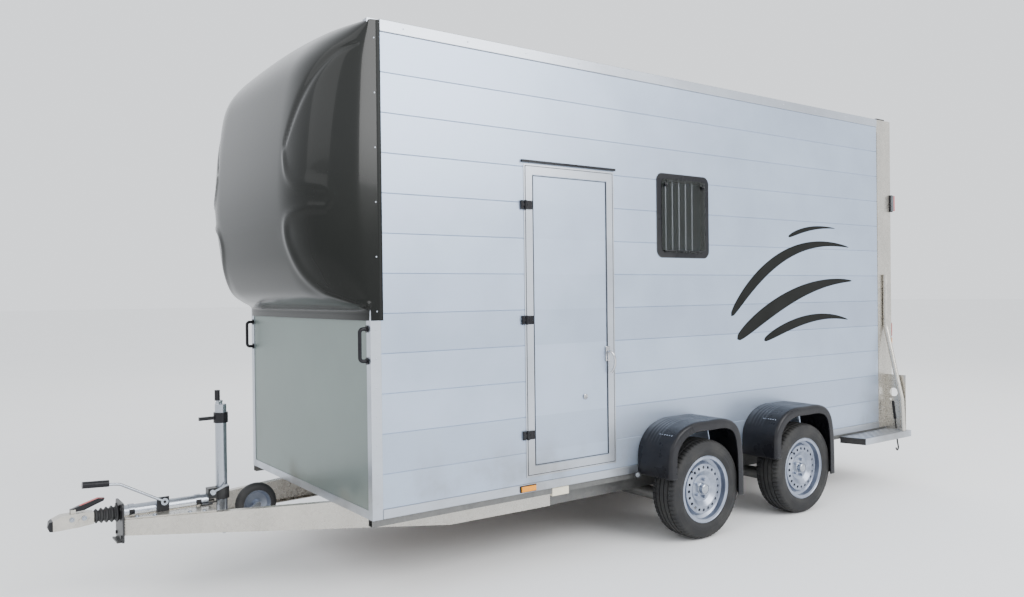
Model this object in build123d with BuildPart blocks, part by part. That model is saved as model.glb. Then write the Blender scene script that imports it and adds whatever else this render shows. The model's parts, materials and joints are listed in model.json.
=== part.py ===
from build123d import *
import os
from math import atan2, cos, degrees, hypot, pi, radians, sin, tan

# Tandem-axle horse trailer, millimetres. Forward is -X, the side with the walk-in door is -Y and +Z is up.
# The origin is on the ground, under the middle of the whole trailer from coupling tip to tail.
os.makedirs("parts", exist_ok=True)

# ---------------------------------------------------------------- driving dimensions
body_length = 4700
body_width = 1750
floor_underside = 417
roof_edge_height = 2900
coupling_reach = 1308        # coupling tip ahead of the body's front face
tail_reach = 30              # lamps and latches behind the rear posts
seat_gap = 0.3               # between pieces that are fitted but not welded together
run_clearance = 0.05         # radial, in every pin, shaft and slide fit

# chassis
chassis_rail_height = 34
chassis_rail_width = 40
chassis_rail_inset = 8
cross_member_pitch = 500
cross_member_first = 1300
cross_member_count = 7
beam_width = 40
beam_wall = 5
beam_front_station = -976
beam_rear_station = 1190
beam_front_spread = 72       # outer face of a beam from the centreline at its front end
beam_slope = 0.325           # sideways spread for each unit of length
beam_front_bottom = 340
beam_belly_station = 620
beam_belly_bottom = 233
beam_rear_bottom = 290
axle_rail_height = 92
axle_rail_wall = 4
axle_rail_rear_station = 3600

# running gear
axle_stations = (("front", 2145), ("rear", 3140))
tyre_radius = 307.5
tyre_width = 195
rim_seat_radius = 190.5
rim_flange_radius = 207.5
rim_half_width = 82.5
wheel_centre_from_side = 167.5
bolt_circle_radius = 56
bolt_count = 5
hand_hole_count = 20
hand_hole_radius = 9
hand_hole_circle = 138
axle_tube_radius = 40
axle_overhang = 30           # axle tube end beyond the body side
torsion_shaft_radius = 24
torsion_shaft_length = 60
arm_trail = 147
arm_thickness = 28
stub_radius = 18
drum_radius = 128

# body shell
board_pitch = 200
board_count = 12
board_base = 439
board_thickness = 25
board_chamfer = 2.5
bottom_rail_top = 465
rail_proud = 5
rail_depth = 40
front_post_side = 58
front_post_front = 45
rear_post_length = 200
rear_post_width = 72
header_height = 90
header_depth = 80
roof_crown = 45
roof_thickness = 10
hollow_wall = 2.5            # wall of the extruded boards, rails, planks and frame members
post_wall = 4
floor_thickness = 18
mat_thickness = 8
panel_thickness = 12
front_panel_top = 1405
sill_strip_top = 460
nose_bottom = 1405
nose_top_centre = 2970
nose_wall = 5
nose_flange_reach = 69
nose_corner_reach = 400      # how far the nose's corner curve runs in from each side

# openings in the left wall
door_station = 947
door_width = 679
door_bottom = 500
door_top = 2257
door_jamb = 10
door_gap = 3
door_leaf_thickness = 34
leaf_border = 46
window_station = 1997
window_width = 478
window_bottom = 1752
window_height = 529
window_border = 40
window_corner = 45
pane_thickness = 5

# rear closures
ramp_length = 1500
ramp_thickness = 55
flap_thickness = 30
closure_gap = 4
hinge_barrel_radius = 12
hinge_pin_radius = 6

# mudguards and side platforms
fender_reach = 280
fender_wall = 4
fender_lip = 58
platform_station = 3955
platform_length = 700
platform_reach = 185
platform_top = 402
platform_depth = 48
guard_tube_radius = 19
guard_station = 4580

# drawbar fittings
shaft_radius = 25
shaft_height = 441
overrun_travel = 80
housing_rear_station = -550
housing_radius = 33
head_plate_thickness = 9
bellows_front_station = -1105
ball_radius = 25
ball_station = -1258
jockey_station = -470
jockey_tube_radius = 30
jockey_tube_wall = 4
jockey_tube_top = 949
jockey_tube_bottom = 300
jockey_wheel_radius = 115
jockey_wheel_width = 60
jockey_pivot_height = 272
jockey_wheel_dx = 187
jockey_wheel_dz = 108

# ---------------------------------------------------------------- derived places
front_x = -(body_length + tail_reach - coupling_reach) / 2
half_width = body_width / 2
wheel_y = half_width + wheel_centre_from_side
roof_rail_bottom = board_base + board_count * board_pitch + seat_gap
floor_top = floor_underside + floor_thickness
tail_x = front_x + body_length
beam_angle = degrees(atan2(beam_slope, 1))
axle_pivot_z = floor_underside - chassis_rail_height - axle_rail_height - axle_tube_radius - seat_gap


def station(distance):
    """X of a point that lies this far behind the body's front face."""
    return front_x + distance


def block(x, y, z, mode=Mode.ADD):
    """Box between two values on each axis, in the part being built."""
    with Locations(((x[0] + x[1]) / 2, (y[0] + y[1]) / 2, (z[0] + z[1]) / 2)):
        Box(x[1] - x[0], y[1] - y[0], z[1] - z[0], mode=mode)


def rod(start, end, radius, mode=Mode.ADD):
    """Round bar from one point to another, in the part being built."""
    a, b = Vector(*start), Vector(*end)
    middle = (a + b) * 0.5
    with Locations(Plane(origin=(middle.X, middle.Y, middle.Z), z_dir=b - a)):
        Cylinder(radius, (b - a).length, mode=mode)


def finish(piece, name):
    """Label a finished sub-part and write it to its own STEP file."""
    piece.part.label = name
    export_step(piece.part, f"parts/{name}.step")


# ---------------------------------------------------------------- chassis
chassis_top = floor_underside
chassis_bottom = floor_underside - chassis_rail_height
rail_outer_y = half_width - chassis_rail_inset
rail_inner_y = rail_outer_y - chassis_rail_width
with BuildPart() as chassis_frame:
    for side in (-1, 1):
        edges_y = sorted((side * rail_inner_y, side * rail_outer_y))
        block((station(0), station(body_length)), edges_y, (chassis_bottom, chassis_top))
        block((station(0), station(body_length)), (edges_y[0] + hollow_wall, edges_y[1] - hollow_wall),
              (chassis_bottom + hollow_wall, chassis_top - hollow_wall), Mode.SUBTRACT)
    for index in range(cross_member_count):
        middle = cross_member_first + index * cross_member_pitch
        span = rail_inner_y - seat_gap
        block((station(middle - 20), station(middle + 20)), (-span, span), (chassis_bottom, chassis_top))
        block((station(middle - 20) + hollow_wall, station(middle + 20) - hollow_wall), (-span, span),
              (chassis_bottom + hollow_wall, chassis_top - hollow_wall), Mode.SUBTRACT)
finish(chassis_frame, "chassis_frame")

beam_run = beam_rear_station - beam_front_station
beam_rear_spread = beam_front_spread + beam_slope * beam_run
axle_rail_top = chassis_bottom
axle_rail_bottom = axle_rail_top - axle_rail_height
axle_rail_outer = beam_rear_spread - 2
with BuildPart() as axle_frame:
    for side in (-1, 1):
        outer = sorted((side * axle_rail_outer, side * (axle_rail_outer - 50)))
        inner = (outer[0] + axle_rail_wall, outer[1] - axle_rail_wall)
        reach = (station(beam_rear_station + seat_gap), station(axle_rail_rear_station))
        block(reach, outer, (axle_rail_bottom, axle_rail_top))
        block(reach, inner, (axle_rail_bottom + axle_rail_wall, axle_rail_top - axle_rail_wall), Mode.SUBTRACT)
    for name, distance in axle_stations:
        pivot_x = station(distance - arm_trail)
        reach = half_width + axle_overhang
        rod((pivot_x, -reach, axle_pivot_z), (pivot_x, reach, axle_pivot_z), axle_tube_radius)
        rod((pivot_x, -reach, axle_pivot_z), (pivot_x, reach, axle_pivot_z),
            torsion_shaft_radius + run_clearance, Mode.SUBTRACT)
finish(axle_frame, "axle_frame")

# Each drawbar beam is a deep-bellied channel whose open side faces the centreline.
along = 1 / cos(radians(beam_angle))
beam_plane = Plane(
    origin=(station(beam_front_station), -beam_front_spread, 0),
    x_dir=(cos(radians(beam_angle)), -sin(radians(beam_angle)), 0),
    z_dir=(-sin(radians(beam_angle)), -cos(radians(beam_angle)), 0),
)
belly_run = (beam_belly_station - beam_front_station) * along
full_run = beam_run * along
with BuildPart() as drawbar_beam_left:
    for inset in (0, beam_wall):
        with BuildSketch(beam_plane.offset(-beam_width if inset else 0)) as beam_outline:
            with BuildLine():
                FilletPolyline(
                    (-30, floor_underside - inset), (-30, beam_front_bottom + inset),
                    (belly_run, beam_belly_bottom + inset), (full_run + 30, beam_rear_bottom + inset),
                    (full_run + 30, floor_underside - inset), radius=20,
                )
                Line((full_run + 30, floor_underside - inset), (-30, floor_underside - inset))
            make_face()
        if inset:
            extrude(amount=beam_width - beam_wall, mode=Mode.SUBTRACT)
        else:
            extrude(amount=-beam_width)
    block((station(beam_front_station), station(beam_rear_station)), (-half_width, 0),
          (beam_belly_bottom - 50, floor_underside + 1), Mode.INTERSECT)
finish(drawbar_beam_left, "drawbar_beam_left")

with BuildPart() as drawbar_beam_right:
    mirror(drawbar_beam_left.part, about=Plane.XZ)
finish(drawbar_beam_right, "drawbar_beam_right")

plate_rear_x = station(beam_front_station) - seat_gap
plate_front_x = plate_rear_x - head_plate_thickness
with BuildPart() as drawbar_head_plate:
    with BuildSketch(Plane.YZ.offset(plate_front_x)):
        with Locations((0, 400)):
            RectangleRounded(172, 200, 18)
        with Locations((0, shaft_height)):
            Circle(shaft_radius + 2, mode=Mode.SUBTRACT)
    extrude(amount=head_plate_thickness)
    block((plate_front_x - 22, plate_front_x), (-60, 60), (301, 309))
    for y in (-62, 62):
        for z in (330, 470):
            rod((plate_front_x - 6, y, z), (plate_front_x, y, z), 9)
finish(drawbar_head_plate, "drawbar_head_plate")

# ---------------------------------------------------------------- overrun housing and coupling
housing_x = (station(beam_front_station), station(housing_rear_station))
brake_pivot = (station(-778), 476)
brake_plane_y = -46
with BuildPart() as overrun_housing:
    rod((housing_x[0], 0, shaft_height), (housing_x[1], 0, shaft_height), housing_radius)
    with BuildSketch(Plane.XY.offset(floor_underside)):
        with BuildLine():
            Polyline(
                (housing_x[0] + 6, -66), (housing_x[1] - 6, -196), (housing_x[1] - 6, 196),
                (housing_x[0] + 6, 66), (housing_x[0] + 6, -66),
            )
        make_face()
    extrude(amount=7)
    for middle in (-930, -600):
        with Locations((station(middle), 0, shaft_height)):
            Cylinder(housing_radius + 4, 26, rotation=(0, 90, 0))
    block((brake_pivot[0] - 34, brake_pivot[0] + 26), (-42, -30), (floor_underside, brake_pivot[1] + 22))
    rod((brake_pivot[0], -62, brake_pivot[1]), (brake_pivot[0], -30, brake_pivot[1]), 7)
    rod((housing_x[0] - 1, 0, shaft_height), (housing_x[1] + 1, 0, shaft_height),
        shaft_radius + run_clearance, Mode.SUBTRACT)
    for x in (housing_x[0] + 60, housing_x[1] - 60):
        for side in (-1, 1):
            spread = beam_front_spread + beam_slope * (x - housing_x[0]) - beam_width / 2
            rod((x, side * spread, floor_underside + 7), (x, side * spread, floor_underside + 15), 9)
finish(overrun_housing, "overrun_housing")

handle_pivot = (station(-1196), 484)
handle_tip = (station(-1052), 528)
handle_pin_radius = 4.5
shaft_rear = station(housing_rear_station - 50)
head_front_x = station(-coupling_reach)
head_neck_x = station(bellows_front_station)
with BuildPart() as coupling_head:
    rod((head_neck_x - 60, 0, shaft_height), (shaft_rear, 0, shaft_height), shaft_radius)
    with BuildSketch(Plane.XZ.offset(-36)) as head_side:
        with BuildLine():
            Polyline(
                (head_front_x + 8, 402), (head_front_x, 420), (head_front_x + 6, 446), (head_front_x + 60, 470),
                (head_neck_x - 40, 474), (head_neck_x, 468), (head_neck_x, 412), (head_neck_x - 70, 404),
                (head_front_x + 8, 402),
            )
        make_face()
    extrude(amount=72)
    with BuildSketch(Plane.XY.offset(395), mode=Mode.ADD) as head_plan:
        with BuildLine():
            Polyline((head_neck_x, -30), (head_neck_x, 30), (head_front_x + 110, 30), (head_front_x + 60, 36))
            ThreePointArc((head_front_x + 60, 36), (head_front_x, 0), (head_front_x + 60, -36))
            Polyline((head_front_x + 60, -36), (head_front_x + 110, -30), (head_neck_x, -30))
        make_face()
    extrude(amount=85, mode=Mode.INTERSECT)
    rod((head_neck_x - 60, 0, shaft_height), (shaft_rear, 0, shaft_height), shaft_radius)
    with Locations((station(ball_station), 0, 418)):
        Sphere(ball_radius + 0.5, mode=Mode.SUBTRACT)
    rod((station(ball_station), 0, 380), (station(ball_station), 0, 418), ball_radius + 0.5, Mode.SUBTRACT)
    for x in (head_neck_x - 62, head_neck_x - 20):
        rod((x, -38, shaft_height - 4), (x, 38, shaft_height - 4), 8)
    for y in ((-21, -15 - seat_gap), (15 + seat_gap, 21)):
        block((handle_pivot[0] - 11, handle_pivot[0] + 11), y, (shaft_height + 10, handle_pivot[1] + 8))
    rod((handle_pivot[0], -21, handle_pivot[1]), (handle_pivot[0], 21, handle_pivot[1]), handle_pin_radius)
finish(coupling_head, "coupling_head")

with BuildPart() as coupling_handle:
    rod((handle_pivot[0], -15, handle_pivot[1]), (handle_pivot[0], 15, handle_pivot[1]), 9.5)
    with BuildSketch(Plane.XZ.offset(-13)):
        with BuildLine():
            Polyline(
                (handle_pivot[0] - 4, handle_pivot[1] - 5), (handle_pivot[0] + 50, handle_pivot[1] - 2),
                (handle_tip[0] - 6, handle_tip[1] - 12), (handle_tip[0], handle_tip[1]),
                (handle_tip[0] - 30, handle_tip[1] + 4), (handle_pivot[0] + 30, handle_pivot[1] + 22),
                (handle_pivot[0] - 8, handle_pivot[1] + 8), (handle_pivot[0] - 4, handle_pivot[1] - 5),
            )
        make_face()
    extrude(amount=26)
    rod((handle_pivot[0], -16, handle_pivot[1]), (handle_pivot[0], 16, handle_pivot[1]),
        handle_pin_radius + run_clearance, Mode.SUBTRACT)
finish(coupling_handle, "coupling_handle")

fold_count = 5
bellows_length = station(beam_front_station) - head_plate_thickness - seat_gap - head_neck_x - 2 * seat_gap
fold_pitch = bellows_length / fold_count
with BuildPart() as bellows:
    with BuildSketch(Plane.XZ):
        with BuildLine():
            start_x = head_neck_x + seat_gap
            folds = []
            for index in range(fold_count):
                grow = 2.2 * index
                folds.append((start_x + index * fold_pitch, shaft_height + 29 + grow))
                folds.append((start_x + (index + 0.5) * fold_pitch, shaft_height + 36 + grow))
            end_x = start_x + bellows_length
            folds.append((end_x, shaft_height + 38))
            Polyline(*folds, (end_x, shaft_height + shaft_radius + 1), (start_x, shaft_height + shaft_radius + 1),
                     folds[0])
        make_face()
    revolve(axis=Axis((0, 0, shaft_height), (1, 0, 0)))
finish(bellows, "bellows")

grip_start = (station(-1040), 607)
grip_end = (station(-1160), 614)
with BuildPart() as handbrake_lever:
    with BuildLine() as brake_path:
        FilletPolyline(
            (brake_pivot[0], brake_plane_y - 6, brake_pivot[1]), (grip_start[0] + 50, brake_plane_y - 6, 596),
            (grip_end[0], brake_plane_y - 6, grip_end[1]), radius=60,
        )
    with BuildSketch(Plane(origin=brake_path.line @ 0, z_dir=brake_path.line % 0)):
        Circle(7)
    sweep()
    rod((brake_pivot[0], brake_plane_y - 14, brake_pivot[1]),
        (brake_pivot[0], brake_plane_y + 3.5, brake_pivot[1]), 18)
    rod((grip_start[0], brake_plane_y - 6, grip_start[1]), (grip_end[0], brake_plane_y - 6, grip_end[1]), 17)
    rod((brake_pivot[0], -70, brake_pivot[1]), (brake_pivot[0], -30, brake_pivot[1]),
        7 + run_clearance, Mode.SUBTRACT)
finish(handbrake_lever, "handbrake_lever")

# ---------------------------------------------------------------- jockey wheel
jockey_x = station(jockey_station)
clamp_inner = jockey_tube_radius + seat_gap
with BuildPart() as jockey_clamp:
    with BuildSketch(Plane.XY.offset(440)):
        with Locations((jockey_x, 0)):
            Circle(clamp_inner + 9)
            Circle(clamp_inner, mode=Mode.SUBTRACT)
    extrude(amount=62)
    block((housing_x[1] + 2, jockey_x - clamp_inner - 2), (-26, 26), (floor_underside + 8, 502))
    block((housing_x[1] - 40, housing_x[1] + 14), (-64, 64), (floor_underside + 7 + seat_gap, floor_underside + 15))
    rod((housing_x[1] - 41, 0, shaft_height), (housing_x[1] + 1, 0, shaft_height), housing_radius + 6, Mode.SUBTRACT)
    rod((housing_x[1] - 41, 0, shaft_height), (jockey_x - clamp_inner, 0, shaft_height), shaft_radius + 2,
        Mode.SUBTRACT)
    rod((jockey_x - 62, -44, 486), (jockey_x - 62, -20, 486), 8)
finish(jockey_clamp, "jockey_clamp")

with BuildPart() as jockey_clamp_lever:
    rod((jockey_x - 62, -62, 486), (jockey_x - 62, -44 - seat_gap, 486), 13)
    rod((jockey_x - 62, -55, 486), (jockey_x - 62 + 78, -62, 520), 6)
finish(jockey_clamp_lever, "jockey_clamp_lever")

with BuildPart() as jockey_outer_tube:
    rod((jockey_x, 0, jockey_tube_bottom), (jockey_x, 0, jockey_tube_top), jockey_tube_radius)
    rod((jockey_x, 0, jockey_tube_bottom), (jockey_x, 0, jockey_tube_top - 8),
        jockey_tube_radius - jockey_tube_wall, Mode.SUBTRACT)
    rod((jockey_x, 0, jockey_tube_top - 10), (jockey_x, 0, jockey_tube_top + 1), 9.5, Mode.SUBTRACT)
    with BuildSketch(Plane.XY.offset(850)):
        with Locations((jockey_x, 0)):
            Circle(jockey_tube_radius + 8)
            Circle(jockey_tube_radius - 1, mode=Mode.SUBTRACT)
    extrude(amount=55)
    block((jockey_x - 116, jockey_x - jockey_tube_radius), (-9, 9), (868, 886))
finish(jockey_outer_tube, "jockey_outer_tube")

inner_radius = jockey_tube_radius - jockey_tube_wall - run_clearance
with BuildPart() as jockey_inner_tube:
    rod((jockey_x, 0, jockey_pivot_height + 20), (jockey_x, 0, 720), inner_radius)
    block((jockey_x - 16, jockey_x + 16), (-19, 19), (jockey_pivot_height - 14, jockey_pivot_height + 22))
    rod((jockey_x, 0, 700), (jockey_x, 0, 721), 12, Mode.SUBTRACT)
    rod((jockey_x, -34, jockey_pivot_height), (jockey_x, 34, jockey_pivot_height), 8)
finish(jockey_inner_tube, "jockey_inner_tube")

crank_turn = 60  # the crank arm stands this far round from straight ahead, towards the left
crank_reach = 70
crank_left = sin(radians(crank_turn))
crank_ahead = cos(radians(crank_turn))
knob_x = jockey_x - crank_reach * crank_ahead
knob_y = -crank_reach * crank_left
with BuildPart() as jockey_crank:
    rod((jockey_x, 0, 730), (jockey_x, 0, jockey_tube_top + 22), 9)
    with Locations(Location((jockey_x - 34 * crank_ahead, -34 * crank_left, jockey_tube_top + 14),
                            (0, 0, crank_turn))):
        Box(crank_reach + 18, 18, 12)
    rod((knob_x, knob_y, jockey_tube_top + 18), (knob_x, knob_y, jockey_tube_top + 30), 7)
    rod((knob_x, knob_y, jockey_tube_top + 28), (knob_x, knob_y, jockey_tube_top + 84), 14)
finish(jockey_crank, "jockey_crank")

fork_angle = degrees(atan2(jockey_wheel_dz, jockey_wheel_dx))
fork_length = hypot(jockey_wheel_dx, jockey_wheel_dz)
jockey_axle = (jockey_x + jockey_wheel_dx, jockey_pivot_height + jockey_wheel_dz)
with BuildPart() as jockey_fork:
    for side in (-1, 1):
        plate_y = side * (jockey_wheel_width / 2 + 8) + 4
        with BuildSketch(Plane.XZ.offset(-plate_y)) as fork_plate:
            with Locations((jockey_x, jockey_pivot_height)):
                Circle(17)
            with Locations(jockey_axle):
                Circle(15)
            make_hull()
            with Locations((jockey_x, jockey_pivot_height)):
                Circle(8 + run_clearance, mode=Mode.SUBTRACT)
        extrude(amount=8)
    rod((jockey_axle[0], -44, jockey_axle[1]), (jockey_axle[0], 44, jockey_axle[1]), 9)
    with Locations(Plane(origin=(jockey_x + 48 * cos(radians(fork_angle)), 0,
                                 jockey_pivot_height + 48 * sin(radians(fork_angle))))):
        Cylinder(7, jockey_wheel_width + 16, rotation=(90, 0, 0))
finish(jockey_fork, "jockey_fork")

with BuildPart() as jockey_wheel:
    with BuildSketch(Plane(origin=(jockey_axle[0], 0, jockey_axle[1]), x_dir=(0, 1, 0), z_dir=(1, 0, 0))):
        with BuildLine():
            Polyline((-30, 9 + run_clearance), (-30, 20), (-8, 26), (-8, 60), (-26, 72), (-26, 78))
            Line((-26, 78), (-28, 84))
            ThreePointArc((-28, 84), (0, jockey_wheel_radius), (28, 84))
            Polyline((28, 84), (26, 78), (26, 72), (8, 60), (8, 26), (30, 20), (30, 9 + run_clearance),
                     (-30, 9 + run_clearance))
        make_face()
    revolve(axis=Axis((jockey_axle[0], 0, jockey_axle[1]), (0, 1, 0)))
finish(jockey_wheel, "jockey_wheel")

# ---------------------------------------------------------------- running gear
arm_inner_y = -(half_width + axle_overhang + seat_gap)
wheel_axis = Axis((0, 0, tyre_radius), (0, -1, 0))
wheel_plane = Plane(origin=(0, -wheel_y, tyre_radius), x_dir=(0, -1, 0), z_dir=(1, 0, 0))
half_tread = tyre_width / 2

with BuildPart() as arm_shape:
    with BuildSketch(Plane.XZ.offset(-arm_inner_y)):
        with Locations((-arm_trail, axle_pivot_z)):
            Circle(44)
        with Locations((0, tyre_radius)):
            Circle(34)
        make_hull()
    extrude(amount=arm_thickness)
    rod((0, arm_inner_y - arm_thickness, tyre_radius), (0, -wheel_y - 30, tyre_radius), stub_radius)
    rod((-arm_trail, arm_inner_y, axle_pivot_z),
        (-arm_trail, arm_inner_y + torsion_shaft_length, axle_pivot_z), torsion_shaft_radius)

# Wheel profiles run outward along local x and away from the axle along local y.
with BuildPart() as tyre_shape:
    with BuildSketch(wheel_plane) as tyre_section:
        bead = rim_seat_radius + seat_gap
        with BuildLine():
            Line((-76, bead), (-76, bead + 16))
            ThreePointArc((-76, bead + 16), (-half_tread, 250), (-86, 296))
            ThreePointArc((-86, 296), (-80, 303), (-70, 306))
            ThreePointArc((-70, 306), (0, tyre_radius), (70, 306))
            ThreePointArc((70, 306), (80, 303), (86, 296))
            ThreePointArc((86, 296), (half_tread, 250), (76, bead + 16))
            Line((76, bead + 16), (76, bead))
            Line((76, bead), (58, bead))
            ThreePointArc((58, bead), (84, 250), (74, 290))
            Line((74, 290), (-74, 290))
            ThreePointArc((-74, 290), (-84, 250), (-58, bead))
            Line((-58, bead), (-76, bead))
        make_face()
        for groove in (-48, -16, 16, 48):
            with Locations((groove, tyre_radius)):
                Rectangle(8, 14, mode=Mode.SUBTRACT)
    revolve(axis=wheel_axis)

disc_x = 40
with BuildPart() as wheel_shape:
    with BuildSketch(wheel_plane) as rim_section:
        with BuildLine():
            Polyline(
                (-rim_half_width, rim_flange_radius), (-rim_half_width, rim_flange_radius - 6),
                (-80, rim_seat_radius - 4), (-44, rim_seat_radius - 4), (-34, 166), (34, 166),
                (44, rim_seat_radius - 4), (78, rim_seat_radius - 4), (rim_half_width - 4, rim_flange_radius - 6),
                (rim_half_width, rim_flange_radius - 2), (rim_half_width, rim_flange_radius),
                (rim_half_width - 5.5, rim_flange_radius), (76.3, rim_seat_radius), (42, rim_seat_radius),
                (32, 170), (-32, 170), (-42, rim_seat_radius), (-76.3, rim_seat_radius),
                (-rim_half_width + 5.5, rim_flange_radius), (-rim_half_width, rim_flange_radius),
            )
        make_face()
    revolve(axis=wheel_axis)
    with BuildSketch(wheel_plane) as disc_section:
        with BuildLine():
            Polyline(
                (disc_x, 34), (disc_x, 84), (disc_x + 20, 112), (disc_x + 14, 150), (24, 166), (30, 166.5),
                (disc_x + 19, 153), (disc_x + 26, 112), (disc_x + 6, 82), (disc_x + 6, 34), (disc_x, 34),
            )
        make_face()
    revolve(axis=wheel_axis)
    disc_face = Plane(origin=(0, -wheel_y - disc_x - 40, tyre_radius), x_dir=(1, 0, 0), z_dir=(0, -1, 0))
    with BuildSketch(disc_face):
        with PolarLocations(hand_hole_circle - 6, hand_hole_count):
            Circle(hand_hole_radius)
    extrude(amount=-60, mode=Mode.SUBTRACT)

# The hub turns on the stub axle and carries the brake drum, the dust cap and the wheel bolts.
with BuildPart() as hub_shape:
    with BuildSketch(wheel_plane):
        with BuildLine():
            Polyline(
                (-76, stub_radius + run_clearance), (-76, 34), (-64, 34), (-64, drum_radius), (-8, drum_radius),
                (-8, drum_radius - 10), (-54, drum_radius - 10), (-54, 42), (26, 42), (26, 76),
                (disc_x - seat_gap, 76), (disc_x - seat_gap, 33.7), (disc_x + 8, 33.7), (disc_x + 10, 31),
                (disc_x + 30, 29), (disc_x + 34, 24), (disc_x + 34, 0), (32, 0), (32, stub_radius + run_clearance),
                (-76, stub_radius + run_clearance),
            )
        make_face()
    revolve(axis=wheel_axis)
    bolt_face = Plane(origin=(0, -wheel_y - disc_x - 6 - seat_gap, tyre_radius), x_dir=(1, 0, 0), z_dir=(0, -1, 0))
    with BuildSketch(bolt_face):
        with PolarLocations(bolt_circle_radius, bolt_count):
            RegularPolygon(10, 6)
    extrude(amount=16)

for axle_name, distance in axle_stations:
    for side_name in ("left", "right"):
        for label, shapes in (("swing_arm", (arm_shape,)), ("wheel", (wheel_shape, hub_shape)),
                              ("tyre", (tyre_shape,))):
            with BuildPart() as corner_piece:
                for shape in shapes:
                    with Locations((station(distance), 0, 0)):
                        add(shape.part)
                if side_name == "right":
                    mirror(about=Plane.XZ, mode=Mode.REPLACE)
            finish(corner_piece, f"{label}_{side_name}_{axle_name}")

# ---------------------------------------------------------------- floor, walls and roof
inside_y = half_width - rail_depth
with BuildPart() as floor_panel:
    floor_half = half_width - front_post_front - seat_gap
    floor_front = station(4 + panel_thickness + seat_gap)
    block((floor_front, station(body_length - rear_post_length - seat_gap)), (-floor_half, floor_half),
          (floor_underside, floor_top))
    tail_half = half_width - rear_post_width - seat_gap
    block((floor_front, station(body_length - header_depth)), (-tail_half, tail_half), (floor_underside, floor_top))
finish(floor_panel, "floor_panel")

with BuildPart() as floor_mat:
    block((station(front_post_side + 30), station(body_length - rear_post_length - 6)),
          (-half_width + board_thickness + 20, half_width - board_thickness - 20),
          (floor_top, floor_top + mat_thickness))
finish(floor_mat, "floor_mat")

with BuildPart() as side_rails:
    rail_x = (station(front_post_side + seat_gap), station(body_length - rear_post_length - seat_gap))
    for side in (-1, 1):
        rail_y = sorted((side * inside_y, side * (half_width + rail_proud)))
        for bottom, top in ((floor_underside, bottom_rail_top), (roof_rail_bottom, roof_edge_height)):
            rail_start = rail_x[0] if bottom == floor_underside else station(nose_flange_reach + seat_gap)
            with BuildSketch(Plane.YZ.offset(rail_start)) as rail_section:
                with Locations(((rail_y[0] + rail_y[1]) / 2, (bottom + top) / 2)):
                    Rectangle(rail_y[1] - rail_y[0], top - bottom)
                chamfer(rail_section.vertices(), 3)
                with Locations(((rail_y[0] + rail_y[1]) / 2, (bottom + top) / 2)):
                    Rectangle(rail_y[1] - rail_y[0] - 8, top - bottom - 8, mode=Mode.SUBTRACT)
            extrude(amount=rail_x[1] - rail_start)
finish(side_rails, "side_rails")

wall_x = (station(front_post_side + seat_gap), station(body_length - rear_post_length - seat_gap))
door_cut_x = (station(door_station), station(door_station + door_width))
window_inner_x = (station(window_station + window_border), station(window_station + window_width - window_border))
window_inner_z = (window_bottom + window_border, window_bottom + window_height - window_border)
for side_name, side in (("left", -1), ("right", 1)):
    with BuildPart() as side_boards:
        with BuildSketch(Plane.YZ.offset(wall_x[0])) as board_section:
            for row in range(board_count):
                bottom = bottom_rail_top + seat_gap if row == 0 else board_base + row * board_pitch + seat_gap
                top = board_base + (row + 1) * board_pitch - seat_gap
                with Locations((side * (half_width - board_thickness / 2), (bottom + top) / 2)):
                    Rectangle(board_thickness, top - bottom)
            chamfer(board_section.vertices().group_by(Axis.X)[0 if side < 0 else -1], board_chamfer)
            # Each board is an extrusion with four hollow chambers.
            for row in range(board_count):
                bottom = bottom_rail_top if row == 0 else board_base + row * board_pitch
                chamber = (board_base + (row + 1) * board_pitch - bottom - 5 * hollow_wall - 2 * seat_gap) / 4
                for index in range(4):
                    middle = bottom + seat_gap + hollow_wall + chamber / 2 + index * (chamber + hollow_wall)
                    with Locations((side * (half_width - board_thickness / 2), middle)):
                        Rectangle(board_thickness - 2 * hollow_wall, chamber, mode=Mode.SUBTRACT)
        extrude(amount=wall_x[1] - wall_x[0])
        wall_y = sorted((side * (half_width + 10), side * (half_width - board_thickness - 10)))
        if side_name == "left":
            block(door_cut_x, wall_y, (door_bottom, door_top), Mode.SUBTRACT)
        block(window_inner_x, wall_y, window_inner_z, Mode.SUBTRACT)
    finish(side_boards, f"side_boards_{side_name}")

with BuildPart() as front_posts:
    for side in (-1, 1):
        post_y = sorted((side * half_width, side * (half_width - front_post_front)))
        block((station(0), station(front_post_side)), post_y, (floor_underside, roof_edge_height - nose_wall))
finish(front_posts, "front_posts")

with BuildPart() as front_panel:
    span = half_width - front_post_front - seat_gap
    block((station(4), station(4 + panel_thickness)), (-span, span), (sill_strip_top + seat_gap, front_panel_top + 60))
    block((station(1), station(4 + panel_thickness)), (-span, span), (floor_underside, sill_strip_top))
finish(front_panel, "front_panel")

with BuildPart() as roof_panel:
    roof_half = inside_y - seat_gap
    with BuildSketch(Plane.YZ.offset(station(front_post_side + seat_gap))):
        with BuildLine():
            ThreePointArc((-roof_half, roof_edge_height - 2), (0, roof_edge_height + roof_crown),
                          (roof_half, roof_edge_height - 2))
            Line((roof_half, roof_edge_height - 2), (roof_half, roof_edge_height - 2 - roof_thickness))
            ThreePointArc((roof_half, roof_edge_height - 2 - roof_thickness),
                          (0, roof_edge_height + roof_crown - roof_thickness),
                          (-roof_half, roof_edge_height - 2 - roof_thickness))
            Line((-roof_half, roof_edge_height - 2 - roof_thickness), (-roof_half, roof_edge_height - 2))
        make_face()
    extrude(amount=body_length - front_post_side - header_depth - 2 * seat_gap)
    for side in (-1, 1):
        notch_y = sorted((side * (half_width - rear_post_width - seat_gap), side * half_width))
        block((station(body_length - rear_post_length - seat_gap), station(body_length)), notch_y,
              (roof_edge_height - 100, roof_edge_height + 100), Mode.SUBTRACT)
finish(roof_panel, "roof_panel")

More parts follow.
